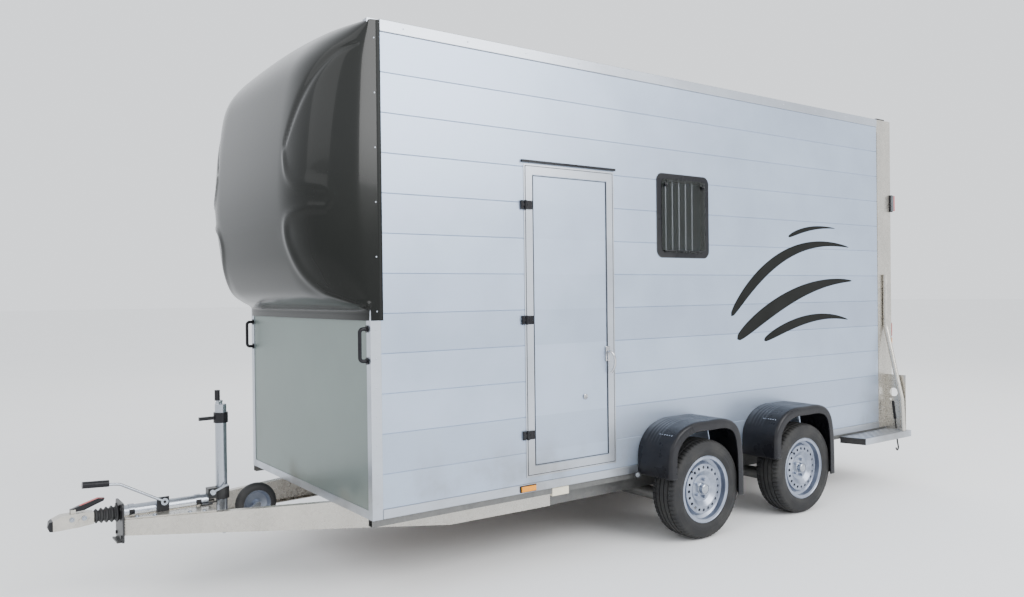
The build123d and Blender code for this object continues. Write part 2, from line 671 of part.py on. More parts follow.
# The nose is a moulded shell: level sections bulge forward and are widest where the corner curve starts.
nose_levels = (
    (nose_bottom, 9), (1450, 22), (1500, 140), (1570, 215), (1700, 268), (1815, 290), (2050, 320), (2360, 300),
    (2640, 252), (2820, 190), (2900, 130), (3000, 40),
)


def nose_outline(depth, inset):
    """Closed plan outline of the nose at one level, inside a builder sketch."""
    back = station(nose_flange_reach + inset)
    side_y = half_width + nose_wall - inset
    front = station(-depth + inset)
    corner = side_y - nose_corner_reach
    with BuildLine() as outline:
        Polyline((station(8), -side_y), (back, -side_y), (back, side_y), (station(8), side_y))
        Bezier((station(8), side_y), (front + 0.25 * depth, side_y), (front, side_y - 0.35 * nose_corner_reach),
               (front, corner))
        Line((front, corner), (front, -corner))
        Bezier((front, -corner), (front, -side_y + 0.35 * nose_corner_reach), (front + 0.25 * depth, -side_y),
               (station(8), -side_y))
    return outline


with BuildPart() as nose_form:
    for level, depth in nose_levels:
        with BuildSketch(Plane.XY.offset(level)):
            add(nose_outline(depth, 0).line)
            make_face()
    loft()
    with BuildSketch(Plane.YZ.offset(station(-600))) as crown:
        with BuildLine():
            outer_y = half_width + 2 * nose_wall
            ThreePointArc((-outer_y, roof_edge_height + nose_wall), (0, nose_top_centre),
                          (outer_y, roof_edge_height + nose_wall))
            Polyline((outer_y, roof_edge_height + nose_wall), (outer_y, nose_bottom), (-outer_y, nose_bottom),
                     (-outer_y, roof_edge_height + nose_wall))
        make_face()
    extrude(amount=800, mode=Mode.INTERSECT)

with BuildPart() as nose_void:
    for level, depth in nose_levels:
        with BuildSketch(Plane.XY.offset(level - nose_wall if level == nose_bottom else level)):
            add(nose_outline(depth, nose_wall).line)
            make_face()
    loft()
    with BuildSketch(Plane.YZ.offset(station(-600))):
        with BuildLine():
            inner_y = half_width + 2 * nose_wall
            ThreePointArc((-inner_y, roof_edge_height), (0, nose_top_centre - nose_wall), (inner_y, roof_edge_height))
            Polyline((inner_y, roof_edge_height), (inner_y, nose_bottom - 2 * nose_wall),
                     (-inner_y, nose_bottom - 2 * nose_wall), (-inner_y, roof_edge_height))
        make_face()
    extrude(amount=800, mode=Mode.INTERSECT)
    block((station(-1), station(200)), (-half_width - 0.2, half_width + 0.2), (nose_bottom - 20, roof_edge_height + 0.2))
with BuildPart() as nose_shell:
    add(nose_form.part)
    add(nose_void.part, mode=Mode.SUBTRACT)
finish(nose_shell, "nose_cap")


# ---------------------------------------------------------------- rear portal, ramp and flap
post_x = (station(body_length - rear_post_length), station(body_length))
post_inner_y = half_width - rear_post_width
header_bottom = roof_edge_height - header_height
sill_top = floor_underside + 22
ramp_bottom = sill_top + closure_gap
flap_axis_z = header_bottom - closure_gap
with BuildPart() as rear_portal:
    for side in (-1, 1):
        post_y = sorted((side * half_width, side * post_inner_y))
        block(post_x, post_y, (floor_underside, roof_edge_height))
        block((post_x[0] + post_wall, post_x[1] - post_wall), (post_y[0] + post_wall, post_y[1] - post_wall),
              (floor_underside, roof_edge_height - post_wall), Mode.SUBTRACT)
        flange_y = sorted((side * (half_width + seat_gap), side * (half_width + 3)))
        block((post_x[0] + 4, post_x[0] + 40), flange_y, (bottom_rail_top + 40, roof_rail_bottom - 40))
    block((post_x[1] - header_depth, post_x[1]), (-post_inner_y + seat_gap, post_inner_y - seat_gap),
          (header_bottom, roof_edge_height))
    block((post_x[1] - header_depth + post_wall, post_x[1] - post_wall), (-post_inner_y + seat_gap,
          post_inner_y - seat_gap), (header_bottom + post_wall, roof_edge_height - post_wall), Mode.SUBTRACT)
    block((post_x[1] - header_depth + seat_gap, post_x[1]), (-post_inner_y + seat_gap, post_inner_y - seat_gap),
          (floor_underside, sill_top))
    for y in (-500, 0, 500):
        rod((post_x[1] + 2, y - 34, ramp_bottom), (post_x[1] + 2, y + 34, ramp_bottom), hinge_barrel_radius + 2,
            Mode.SUBTRACT)
        block((post_x[1] - 4, post_x[1] + hinge_barrel_radius), (y - 46, y - 34), (sill_top - 20, ramp_bottom + 6))
        block((post_x[1] - 4, post_x[1] + hinge_barrel_radius), (y + 34, y + 46), (sill_top - 20, ramp_bottom + 6))
        rod((post_x[1] + 2, y - 46, ramp_bottom), (post_x[1] + 2, y + 46, ramp_bottom), hinge_pin_radius)
    for y in (-500, 0, 500):
        rod((post_x[1] + 2, y - 34, flap_axis_z), (post_x[1] + 2, y + 34, flap_axis_z), hinge_barrel_radius + 2,
            Mode.SUBTRACT)
        for lug in (-40, 40):
            block((post_x[1] - 4, post_x[1] + hinge_barrel_radius), (y + lug - 6, y + lug + 6),
                  (flap_axis_z - 6, header_bottom + 20))
        rod((post_x[1] + 2, y - 46, flap_axis_z), (post_x[1] + 2, y + 46, flap_axis_z), hinge_pin_radius)
finish(rear_portal, "rear_portal")

closure_half = post_inner_y - closure_gap
ramp_top = ramp_bottom + ramp_length
ramp_outer_x = post_x[1] - 1
plank_count = 12
plank_pitch = (ramp_length - 2) / plank_count
with BuildPart() as rear_ramp:
    block((ramp_outer_x - ramp_thickness, ramp_outer_x), (-closure_half, closure_half), (ramp_bottom + 2, ramp_top))
    for index in range(plank_count):
        low = ramp_bottom + 2 + index * plank_pitch + hollow_wall
        block((ramp_outer_x - ramp_thickness + hollow_wall, ramp_outer_x - hollow_wall),
              (-closure_half, closure_half), (low, low + plank_pitch - 2 * hollow_wall), Mode.SUBTRACT)
    for y in (-500, 0, 500):
        block((ramp_outer_x - ramp_thickness, post_x[1] + 16), (y - 50, y + 50),
              (ramp_bottom - 16, ramp_bottom + 16), Mode.SUBTRACT)
        rod((post_x[1] + 2, y - 33, ramp_bottom), (post_x[1] + 2, y + 33, ramp_bottom), hinge_barrel_radius)
        block((ramp_outer_x - 8, ramp_outer_x), (y - 33, y + 33), (ramp_bottom + 4, ramp_bottom + 20))
        rod((post_x[1] + 2, y - 34, ramp_bottom), (post_x[1] + 2, y + 34, ramp_bottom),
            hinge_pin_radius + run_clearance, Mode.SUBTRACT)
    for index in range(6):
        height = ramp_bottom + 180 + index * 210
        block((ramp_outer_x - ramp_thickness - 12, ramp_outer_x - ramp_thickness),
              (-closure_half + 90, closure_half - 90), (height, height + 30))
finish(rear_ramp, "rear_ramp")

latch_z = ramp_top - 110
latch_x = ramp_outer_x + seat_gap
for side_name, side in (("left", -1), ("right", 1)):
    with BuildPart() as ramp_latch:
        pivot_y = side * (closure_half - 60)
        rod((latch_x, pivot_y, latch_z), (latch_x + 14, pivot_y, latch_z), 20)
        arm_y = sorted((pivot_y, pivot_y + side * 92))
        block((latch_x + 5, latch_x + 14), arm_y, (latch_z - 11, latch_z + 11))
        rod((latch_x + 14, pivot_y - side * 100, latch_z), (latch_x + 14, pivot_y, latch_z), 8)
    finish(ramp_latch, f"ramp_latch_{side_name}")

flap_bottom = ramp_top + closure_gap + 6
flap_top = flap_axis_z - 2
with BuildPart() as top_flap:
    block((ramp_outer_x - flap_thickness, ramp_outer_x), (-closure_half, closure_half), (flap_bottom, flap_top))
    flap_planks = 6
    flap_pitch = (flap_top - flap_bottom) / flap_planks
    for index in range(flap_planks):
        low = flap_bottom + index * flap_pitch + hollow_wall
        block((ramp_outer_x - flap_thickness + hollow_wall, ramp_outer_x - hollow_wall),
              (-closure_half, closure_half), (low, low + flap_pitch - 2 * hollow_wall), Mode.SUBTRACT)
    block((ramp_outer_x - flap_thickness - 16, ramp_outer_x - flap_thickness), (-closure_half + 40, closure_half - 40),
          (flap_bottom + 20, flap_bottom + 60))
    for y in (-500, 0, 500):
        block((ramp_outer_x - flap_thickness, post_x[1] + 16), (y - 50, y + 50), (flap_axis_z - 16, flap_axis_z + 16),
              Mode.SUBTRACT)
        rod((post_x[1] + 2, y - 33, flap_axis_z), (post_x[1] + 2, y + 33, flap_axis_z), hinge_barrel_radius)
        block((ramp_outer_x - 8, ramp_outer_x), (y - 33, y + 33), (flap_axis_z - 20, flap_axis_z - 4))
        rod((post_x[1] + 2, y - 34, flap_axis_z), (post_x[1] + 2, y + 34, flap_axis_z), hinge_pin_radius + run_clearance,
            Mode.SUBTRACT)
finish(top_flap, "top_flap")

# ---------------------------------------------------------------- walk-in door
wall_outer_y = -half_width
with BuildPart() as door_frame:
    door_x = (door_cut_x[0] + seat_gap, door_cut_x[1] - seat_gap)
    door_z = (door_bottom + seat_gap, door_top - seat_gap)
    block(door_x, (wall_outer_y - 3, wall_outer_y + board_thickness + 12), door_z)
    block((door_x[0] + door_jamb, door_x[1] - door_jamb), (wall_outer_y - 20, wall_outer_y + 60),
          (door_z[0] + door_jamb, door_z[1] - door_jamb), Mode.SUBTRACT)
    block((door_x[0] - 16, door_x[1] + 8), (wall_outer_y - 14, wall_outer_y - seat_gap), (door_top + 6, door_top + 20))
finish(door_frame, "door_frame")

leaf_x = (door_x[0] + door_jamb + door_gap, door_x[1] - door_jamb - door_gap)
leaf_z = (door_z[0] + door_jamb + door_gap, door_z[1] - door_jamb - door_gap)
leaf_outer_y = wall_outer_y - 4
hinge_x = door_x[0] + 6
hinge_y = leaf_outer_y - 10
hinge_heights = (738, 1382, 2025)
handle_z = 1150
handle_x = leaf_x[1] - 44
lock_x = station(1385)
with BuildPart() as side_door:
    block(leaf_x, (leaf_outer_y, leaf_outer_y + door_leaf_thickness), leaf_z)
    block((leaf_x[0] + leaf_border, leaf_x[1] - leaf_border), (leaf_outer_y - 1, leaf_outer_y + 4),
          (leaf_z[0] + leaf_border, leaf_z[1] - leaf_border), Mode.SUBTRACT)
    block((leaf_x[0] + leaf_border, leaf_x[1] - leaf_border), (leaf_outer_y + 12, leaf_outer_y + 50),
          (leaf_z[0] + leaf_border, leaf_z[1] - leaf_border), Mode.SUBTRACT)
    for z in hinge_heights:
        rod((hinge_x, hinge_y, z - 25), (hinge_x, hinge_y, z + 25), 9)
        block((hinge_x, leaf_x[0] + 40), (leaf_outer_y - 9, leaf_outer_y), (z - 24, z + 24))
        block((hinge_x - 12, hinge_x + 14), (hinge_y - 14, hinge_y + 14), (z - 9, z + 9), Mode.SUBTRACT)
        rod((hinge_x, hinge_y, z - 30), (hinge_x, hinge_y, z + 30), 4 + run_clearance, Mode.SUBTRACT)
finish(side_door, "side_door")

with BuildPart() as door_hinge_pins:
    for z in hinge_heights:
        rod((hinge_x, hinge_y, z - 26), (hinge_x, hinge_y, z + 26), 4)
        rod((hinge_x, hinge_y, z - 8.7), (hinge_x, hinge_y, z + 8.7), 9)
        block((hinge_x - 30, hinge_x), (hinge_y - 1, wall_outer_y - 3 - seat_gap), (z - 8.7, z + 8.7))
        block((hinge_x - 30, hinge_x - 14), (hinge_y + 2, wall_outer_y - seat_gap - 3), (z - 25, z + 25))
finish(door_hinge_pins, "door_hinge_pins")

with BuildPart() as door_handle:
    rod((handle_x, leaf_outer_y - seat_gap, handle_z), (handle_x, leaf_outer_y - 12, handle_z), 17)
    with BuildLine() as lever_path:
        FilletPolyline((handle_x, leaf_outer_y - 10, handle_z), (handle_x, leaf_outer_y - 34, handle_z),
                       (handle_x - 4, leaf_outer_y - 36, handle_z - 98), radius=14)
    with BuildSketch(Plane(origin=lever_path.line @ 0, z_dir=lever_path.line % 0)):
        Circle(7)
    sweep()
finish(door_handle, "door_handle")

with BuildPart() as door_lock:
    lock_face_y = leaf_outer_y + 4 - seat_gap
    rod((lock_x, lock_face_y, 920), (lock_x, lock_face_y - 9, 920), 13)
    block((lock_x - 2, lock_x + 2), (lock_face_y - 10, lock_face_y - 6), (914, 926), Mode.SUBTRACT)
finish(door_lock, "door_lock")

# ---------------------------------------------------------------- windows, one in each wall
window_mid_x = station(window_station + window_width / 2)
window_mid_z = window_bottom + window_height / 2
aperture = (window_width - 2 * window_border, window_height - 2 * window_border)
frame_outer_y = half_width + 5
pane_size = (window_width - 72, window_height - 60)
pane_top = window_mid_z + pane_size[1] / 2
with BuildPart() as window_frames:
    for side in (-1, 1):
        inner_y = side * (half_width + seat_gap)
        with BuildSketch(Plane.XZ.offset(-inner_y)):
            with Locations((window_mid_x, window_mid_z)):
                RectangleRounded(window_width, window_height, window_corner)
                RectangleRounded(aperture[0] - 10, aperture[1] - 10, 20, mode=Mode.SUBTRACT)
        extrude(amount=-side * (frame_outer_y - half_width - seat_gap))
        with BuildSketch(Plane.XZ.offset(-inner_y)):
            with Locations((window_mid_x, window_mid_z)):
                Rectangle(aperture[0] - 1, aperture[1] - 1)
                RectangleRounded(aperture[0] - 10, aperture[1] - 10, 20, mode=Mode.SUBTRACT)
        extrude(amount=side * (board_thickness + 4))
finish(window_frames, "window_frames")

with BuildPart() as window_bars:
    for side in (-1, 1):
        for index in range(5):
            bar_x = window_mid_x + (index - 2) * 62
            bar_y = side * (half_width - board_thickness - 12)
            rod((bar_x, bar_y, window_mid_z - 236), (bar_x, bar_y, window_mid_z + 236), 6)
        for end in (-1, 1):
            rail_y = sorted((side * (half_width - board_thickness - seat_gap), side * (half_width - board_thickness - 16)))
            block((window_mid_x - 160, window_mid_x + 160), rail_y,
                  (window_mid_z + end * 236 - 8, window_mid_z + end * 236 + 8))
finish(window_bars, "window_bars")

pane_inner_y = frame_outer_y + seat_gap
for side_name, side in (("left", -1), ("right", 1)):
    with BuildPart() as window_pane:
        with BuildSketch(Plane.XZ.offset(-side * pane_inner_y)):
            with Locations((window_mid_x, window_mid_z)):
                RectangleRounded(pane_size[0], pane_size[1], window_corner - 12)
        extrude(amount=-side * pane_thickness)
        for x in (-150, 150):
            block_y = sorted((side * (pane_inner_y + pane_thickness), side * (pane_inner_y + pane_thickness + 9)))
            block((window_mid_x + x - 17, window_mid_x + x + 17), block_y, (pane_top - 34, pane_top - 4))
    finish(window_pane, f"window_pane_{side_name}")

# ---------------------------------------------------------------- grab handles and lamps
with BuildPart() as grab_handles:
    for side in (-1, 1):
        y = side * (half_width - 34)
        base_x = station(0) - seat_gap
        with BuildLine() as grip_path:
            FilletPolyline((base_x - 2, y, 1205), (base_x - 42, y, 1205), (base_x - 42, y, 1364), (base_x - 2, y, 1364),
                           radius=18)
        with BuildSketch(Plane(origin=grip_path.line @ 0, z_dir=grip_path.line % 0)):
            Circle(9.5)
        sweep()
        for z in (1205, 1364):
            rod((base_x, y, z), (base_x - 6, y, z), 18)
finish(grab_handles, "grab_handles")

lamp_y = half_width + rail_proud + seat_gap
with BuildPart() as marker_lamps:
    for side in (-1, 1):
        amber_y = sorted((side * lamp_y, side * (lamp_y + 14)))
        block((station(897), station(1009)), amber_y, (423, 461))
        post_lamp_y = sorted((side * (half_width + seat_gap), side * (half_width + 34)))
        block((post_x[1] - 22, post_x[1] + 12), post_lamp_y, (2162, 2300))
finish(marker_lamps, "marker_lamps")

with BuildPart() as rear_lamps:
    for side in (-1, 1):
        cluster_y = sorted((side * (half_width - 4), side * (post_inner_y + 4)))
        block((post_x[1] + seat_gap, post_x[1] + tail_reach), cluster_y, (900, 1260))
finish(rear_lamps, "rear_lamps")

# ---------------------------------------------------------------- mudguards
fender_inner_y = half_width + rail_proud + seat_gap
fender_outer_y = half_width + fender_reach
fender_path = (
    (-343, 412), (-336, 560), (-228, 700), (-120, 733), (150, 733), (258, 700), (322, 580), (333, 420), (333, 235),
)
with BuildPart() as fenders:
    for name, distance in axle_stations:
        axle_x = station(distance)
        for side in (-1, 1):
            with BuildSketch(Plane.XZ.offset(-side * fender_inner_y)) as shell_section:
                with BuildLine() as shell_line:
                    FilletPolyline(*[(axle_x + x, z) for x, z in fender_path], radius=60)
                trace(shell_line.line, fender_wall)
            extrude(amount=-side * (fender_outer_y - fender_inner_y))
            with BuildSketch(Plane.XZ.offset(-side * (fender_outer_y - fender_wall))) as lip_section:
                with BuildLine():
                    FilletPolyline(*[(axle_x + x, z) for x, z in fender_path], radius=60)
                    Line((axle_x + fender_path[-1][0], fender_path[-1][1]),
                         (axle_x + fender_path[0][0], fender_path[0][1]))
                make_face()
                with BuildLine():
                    Polyline((axle_x - 284, 100), (axle_x - 284, 560), (axle_x - 200, 655), (axle_x - 110, 675),
                             (axle_x + 140, 675), (axle_x + 220, 655), (axle_x + 284, 560), (axle_x + 284, 100),
                             (axle_x - 284, 100))
                make_face(mode=Mode.SUBTRACT)
            extrude(amount=-side * fender_wall)
finish(fenders, "fenders")

# ---------------------------------------------------------------- rear side platforms
with BuildPart() as side_platforms:
    for side in (-1, 1):
        near = half_width + rail_proud + seat_gap
        far = half_width + platform_reach
        front_edge = station(platform_station)
        rear_edge = station(platform_station + platform_length)
        with BuildSketch(Plane.XY.offset(platform_top - platform_depth)) as platform_plan:
            with BuildLine():
                Polyline((front_edge, side * near), (front_edge + 55, side * far), (rear_edge, side * far),
                         (rear_edge, side * near), (front_edge, side * near))
            make_face()
        extrude(amount=platform_depth)
        plate_y = sorted((side * (half_width + seat_gap), side * (half_width + 165)))
        block((station(4612), station(4617)), plate_y, (platform_top + seat_gap, 842))
        rod((station(4600), side * (half_width + 66), 700), (station(4630), side * (half_width + 66), 700), 34,
            Mode.SUBTRACT)
        rod((station(4600), side * (half_width + 40), 640), (station(4630), side * (half_width + 40), 640), 10,
            Mode.SUBTRACT)
finish(side_platforms, "side_platforms")

with BuildPart() as guard_tubes:
    for side in (-1, 1):
        tube_x = station(guard_station)
        near = half_width + guard_tube_radius + seat_gap
        with BuildLine() as guard_path:
            FilletPolyline((tube_x, side * near, 1650), (tube_x, side * (near + 1), 1235),
                           (tube_x, side * (half_width + 150), 650),
                           (tube_x, side * (half_width + 160), platform_top + 1), radius=160)
        with BuildSketch(Plane(origin=guard_path.line @ 0, z_dir=guard_path.line % 0)):
            Circle(guard_tube_radius)
        sweep()
finish(guard_tubes, "guard_tubes")

# ---------------------------------------------------------------- stall fittings
bar_x = station(1800)
partition_x = bar_x + 60
with BuildPart() as breast_bar:
    bar_reach = half_width - board_thickness - seat_gap
    rod((bar_x, -bar_reach, 1080), (bar_x, -30 - seat_gap, 1080), 24)
    rod((bar_x, 30 + seat_gap, 1080), (bar_x, bar_reach, 1080), 24)
    rod((bar_x, 0, floor_top + mat_thickness + seat_gap), (bar_x, 0, roof_edge_height - 30), 30)
    for low, high, pin in ((748, 760 - seat_gap, 790), (1900 + seat_gap, 1912, 1870)):
        block((bar_x + 20, partition_x + 16), (-14, 14), (low, high))
        rod((partition_x, 0, (low + high) / 2), (partition_x, 0, pin), 8)
finish(breast_bar, "breast_bar")

with BuildPart() as partition:
    rod((partition_x, 0, 760), (partition_x, 0, 1900), 18)
    block((partition_x, station(4300)), (-14, 14), (800, 1840))
    block((partition_x + 26, station(4290)), (-6, 6), (floor_top + mat_thickness + 60, 800))
    block((partition_x + 116, station(4200)), (-15, 15), (900, 1740), Mode.SUBTRACT)
    block((partition_x + 114, station(4202)), (-8, 8), (898, 1742))
    rod((partition_x, 0, 740), (partition_x, 0, 1920), 8 + run_clearance, Mode.SUBTRACT)
finish(partition, "partition")
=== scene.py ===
import json
import math
from math import cos, pi, radians, sin

import bmesh
import bpy
from bpy.props import FloatProperty, FloatVectorProperty, IntProperty, PointerProperty
from mathutils import Matrix, Vector


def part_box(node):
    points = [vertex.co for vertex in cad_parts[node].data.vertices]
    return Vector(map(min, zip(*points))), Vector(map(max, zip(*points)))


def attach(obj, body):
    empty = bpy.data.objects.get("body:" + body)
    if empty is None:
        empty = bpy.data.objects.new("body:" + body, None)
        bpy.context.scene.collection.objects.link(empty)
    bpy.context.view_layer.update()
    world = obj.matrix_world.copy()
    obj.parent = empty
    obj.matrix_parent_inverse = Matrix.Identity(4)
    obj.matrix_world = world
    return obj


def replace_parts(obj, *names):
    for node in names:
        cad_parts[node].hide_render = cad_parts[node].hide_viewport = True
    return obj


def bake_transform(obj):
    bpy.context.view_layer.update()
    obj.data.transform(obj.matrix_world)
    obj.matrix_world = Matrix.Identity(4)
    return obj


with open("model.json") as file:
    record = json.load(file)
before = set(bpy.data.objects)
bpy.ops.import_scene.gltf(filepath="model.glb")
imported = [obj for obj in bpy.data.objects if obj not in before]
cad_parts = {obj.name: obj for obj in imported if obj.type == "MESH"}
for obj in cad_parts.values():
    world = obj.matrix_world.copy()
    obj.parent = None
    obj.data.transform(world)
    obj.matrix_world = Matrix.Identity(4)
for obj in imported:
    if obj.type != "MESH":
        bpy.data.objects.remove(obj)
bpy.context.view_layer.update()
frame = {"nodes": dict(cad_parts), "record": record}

bl_info = {
    "name": "Horse trailer",
    "version": (1, 0, 0),
    "blender": (4, 5, 0),
    "location": "View3D > Sidebar > Trailer",
    "description": "Finishes and moulded pieces of a horse trailer around its CAD frame",
    "category": "Object",
}

ROOT = "trailer"
MM = 0.001

# Places that the pieces share, read from the frame.
POST_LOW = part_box("front_posts")[0]
REAR_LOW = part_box("rear_portal")[0]
FRONT_X = POST_LOW.x
HALF_WIDTH = -POST_LOW.y
BOARD_PITCH = 0.2
BOARD_BASE = 0.439


# ---------------------------------------------------------------- shader maths

class Socket:
    """One output of a shader tree; arithmetic on it adds Math nodes."""

    def __init__(self, tree, socket):
        self.tree = tree
        self.socket = socket

    def _math(self, operation, first, second):
        return self.tree.node("ShaderNodeMath", {"operation": operation}, {0: first, 1: second})

    def __add__(self, other):
        return self._math("ADD", self, other)

    __radd__ = __add__

    def __sub__(self, other):
        return self._math("SUBTRACT", self, other)

    def __rsub__(self, other):
        return self._math("SUBTRACT", other, self)

    def __mul__(self, other):
        return self._math("MULTIPLY", self, other)

    __rmul__ = __mul__

    def __truediv__(self, other):
        return self._math("DIVIDE", self, other)


class Finish:
    """A material with one Principled shader and short ways to add nodes to it."""

    def __init__(self, name):
        self.material = bpy.data.materials.new(name)
        self.material.use_nodes = True
        self.nodes = self.material.node_tree.nodes
        self.links = self.material.node_tree.links
        self.nodes.clear()
        self.shader = self.nodes.new("ShaderNodeBsdfPrincipled")
        self.output = self.nodes.new("ShaderNodeOutputMaterial")
        self.links.new(self.shader.outputs[0], self.output.inputs[0])

    def node(self, kind, settings, inputs, out=0):
        """Add a node, set it up, feed its sockets and give back one of its outputs."""
        made = self.nodes.new(kind)
        for key, value in settings.items():
            setattr(made, key, value)
        for key, value in inputs.items():
            self.feed(made.inputs[key], value)
        return Socket(self, made.outputs[out])

    def feed(self, target, value):
        """Link a socket, or set it to a constant."""
        if isinstance(value, Socket):
            self.links.new(value.socket, target)
        else:
            target.default_value = value

    def shade(self, **values):
        """Feed the shader's own sockets; an underscore stands for a space."""
        for key, value in values.items():
            self.feed(self.shader.inputs[key.replace("_", " ")], value)
        return self

    def place(self):
        """Coordinates that stay with the piece."""
        return self.node("ShaderNodeTexCoord", {}, {}, "Object")

    def stretched(self, x, y, z):
        """Coordinates scaled along each axis."""
        return self.node("ShaderNodeVectorMath", {"operation": "MULTIPLY"}, {0: self.place(), 1: (x, y, z)})

    def axis(self, name):
        """One coordinate of the place on the piece."""
        return self.node("ShaderNodeSeparateXYZ", {}, {0: self.place()}, name)

    def noise(self, vector, scale, detail=3.0, rough=0.55):
        """Noise between 0 and 1."""
        return self.node("ShaderNodeTexNoise", {}, {"Vector": vector, "Scale": scale, "Detail": detail,
                                                    "Roughness": rough})

    def cells(self, vector, scale, out="Distance"):
        """Cell pattern, such as zinc spangle or pebbled grain."""
        return self.node("ShaderNodeTexVoronoi", {}, {"Vector": vector, "Scale": scale}, out)

    def blend(self, factor, first, second):
        """Colour between two colours."""
        return self.node("ShaderNodeMix", {"data_type": "RGBA"}, {"Factor": factor, 6: first, 7: second}, 2)

    def steps(self, value, low, high):
        """0 below low, 1 above high and a smooth rise between."""
        return self.node("ShaderNodeMapRange", {"interpolation_type": "SMOOTHSTEP"},
                         {"Value": value, "From Min": low, "From Max": high})

    def bump(self, height, strength, distance):
        """Surface relief that feeds the shader's Normal."""
        relief = self.node("ShaderNodeBump", {},
                           {"Height": height, "Strength": strength, "Distance": distance})
        return self.shade(Normal=relief)


def colour(red, green, blue):
    """Colour with full alpha."""
    return (red, green, blue, 1.0)


def brushed_metal(name, light, dark, rough, metal, board_tone=0.0):
    """Rolled aluminium: fine lines along the length, dull patches and a little dirt low down."""
    finish = Finish(name)
    lines = finish.noise(finish.stretched(1.5, 90.0, 90.0), 9.0, 4.0)
    cloud = finish.noise(finish.place(), 2.3, 5.0)
    dirt = (1.0 - finish.steps(finish.axis("Z"), 0.40, 0.95)) * finish.steps(cloud, 0.42, 0.72)
    tone = lines * 0.30 + cloud * 0.70
    if board_tone:
        row = finish.node("ShaderNodeMath", {"operation": "FLOOR"},
                          {0: (finish.axis("Z") - BOARD_BASE) / BOARD_PITCH})
        pick = finish.node("ShaderNodeTexWhiteNoise", {"noise_dimensions": "1D"}, {"W": row}, "Value")
        tone = tone + (pick - 0.5) * board_tone
    clean = finish.blend(finish.steps(tone, 0.15, 0.85), colour(*dark), colour(*light))
    finish.shade(Base_Color=finish.blend(dirt * 0.55, clean, colour(0.20, 0.18, 0.15)),
                 Metallic=metal, Roughness=rough + (cloud - 0.5) * 0.16 + dirt * 0.25)
    return finish.bump(lines, 0.08, 0.4 * MM)


def galvanised(name, dark, light, rough):
    """Hot-dipped zinc with spangle and dull runs."""
    finish = Finish(name)
    spangle = finish.node("ShaderNodeSeparateColor", {}, {0: finish.cells(finish.place(), 55.0, "Color")}, 0)
    cloud = finish.noise(finish.stretched(1.0, 1.0, 0.4), 7.0, 5.0)
    base = finish.blend(spangle * 0.22 + cloud * 0.78, colour(*dark), colour(*light))
    finish.shade(Base_Color=base, Metallic=0.80, Roughness=rough + spangle * 0.10 + (cloud - 0.5) * 0.12)
    return finish.bump(cloud, 0.10, 1.0 * MM)


def plated(name, tone, rough):
    """Bright zinc or chrome plating with faint smears."""
    finish = Finish(name)
    cloud = finish.noise(finish.place(), 38.0, 3.0)
    base = finish.blend(cloud, colour(*[0.86 * c for c in tone]), colour(*tone))
    return finish.shade(Base_Color=base, Metallic=1.0, Roughness=rough + cloud * 0.10)


def coated(name, tone, rough, grain_scale, grain_depth, coat=0.0, dust=0.0, shine=0.5):
    """Paint, moulded plastic or rubber with a fine grain and some dust in the flats."""
    finish = Finish(name)
    grain = finish.noise(finish.place(), grain_scale, 3.0)
    cloud = finish.noise(finish.place(), 5.0, 4.0)
    worn = colour(*[min(1.0, c * 1.5 + 0.012) for c in tone])
    base = finish.blend(cloud, colour(*tone), worn)
    if dust:
        base = finish.blend(finish.steps(cloud, 0.45, 0.8) * dust, base, colour(0.30, 0.28, 0.24))
    finish.shade(Base_Color=base, Metallic=0.0, Roughness=rough + (cloud - 0.5) * 0.14)
    finish.shader.inputs["Coat Weight"].default_value = coat
    finish.shader.inputs["Coat Roughness"].default_value = 0.04
    finish.shader.inputs["Specular IOR Level"].default_value = shine
    return finish.bump(grain, 0.25, grain_depth * MM)


def nose_gelcoat():
    """Near-black gloss gelcoat with a trace of ripple, and less coat low down as a painted reflection."""
    finish = Finish("gloss_nose")
    cloud = finish.noise(finish.place(), 2.0, 3.0)
    # Coat weight falls from 2.45 m down to 1.75 m, so the lower nose reflects less: painted reflection.
    height = finish.steps(finish.axis("Z"), 1.75, 2.45)
    base = finish.blend(cloud, colour(0.004, 0.0045, 0.004), colour(0.011, 0.012, 0.010))
    finish.shade(Base_Color=base, Metallic=0.0, Roughness=0.16 + cloud * 0.06, Coat_Weight=height * 0.34)
    finish.shader.inputs["Coat Roughness"].default_value = 0.05
    finish.shader.inputs["Specular IOR Level"].default_value = 0.20
    return finish.bump(cloud, 0.04, 3.0 * MM)


def tinted_glass():
    """Smoked acrylic with faint scratches."""
    finish = Finish("tinted_glass")
    cloud = finish.noise(finish.place(), 12.0, 3.0)
    base = finish.blend(cloud, colour(0.015, 0.018, 0.015), colour(0.03, 0.034, 0.03))
    finish.shade(Base_Color=base, Roughness=0.04 + cloud * 0.04, Alpha=0.30 + cloud * 0.06)
    finish.shader.inputs["Coat Weight"].default_value = 0.1
    return finish


def lens(name, tone):
    """Ribbed lamp lens."""
    finish = Finish(name)
    ribs = finish.node("ShaderNodeTexWave", {"bands_direction": "X"},
                       {"Vector": finish.place(), "Scale": 55.0})
    base = finish.blend(ribs, colour(*[0.65 * c for c in tone]), colour(*tone))
    finish.shade(Base_Color=base, Roughness=0.22 + ribs * 0.08)
    finish.shader.inputs["Coat Weight"].default_value = 0.15
    return finish.bump(ribs, 0.2, 0.4 * MM)


def plywood():
    """Film-faced floor plywood."""
    finish = Finish("floor_ply")
    grain = finish.noise(finish.stretched(2.0, 26.0, 26.0), 6.0, 5.0)
    base = finish.blend(grain, colour(0.06, 0.035, 0.02), colour(0.16, 0.10, 0.06))
    finish.shade(Base_Color=base, Roughness=0.55 + grain * 0.2)
    return finish.bump(grain, 0.2, 0.6 * MM)


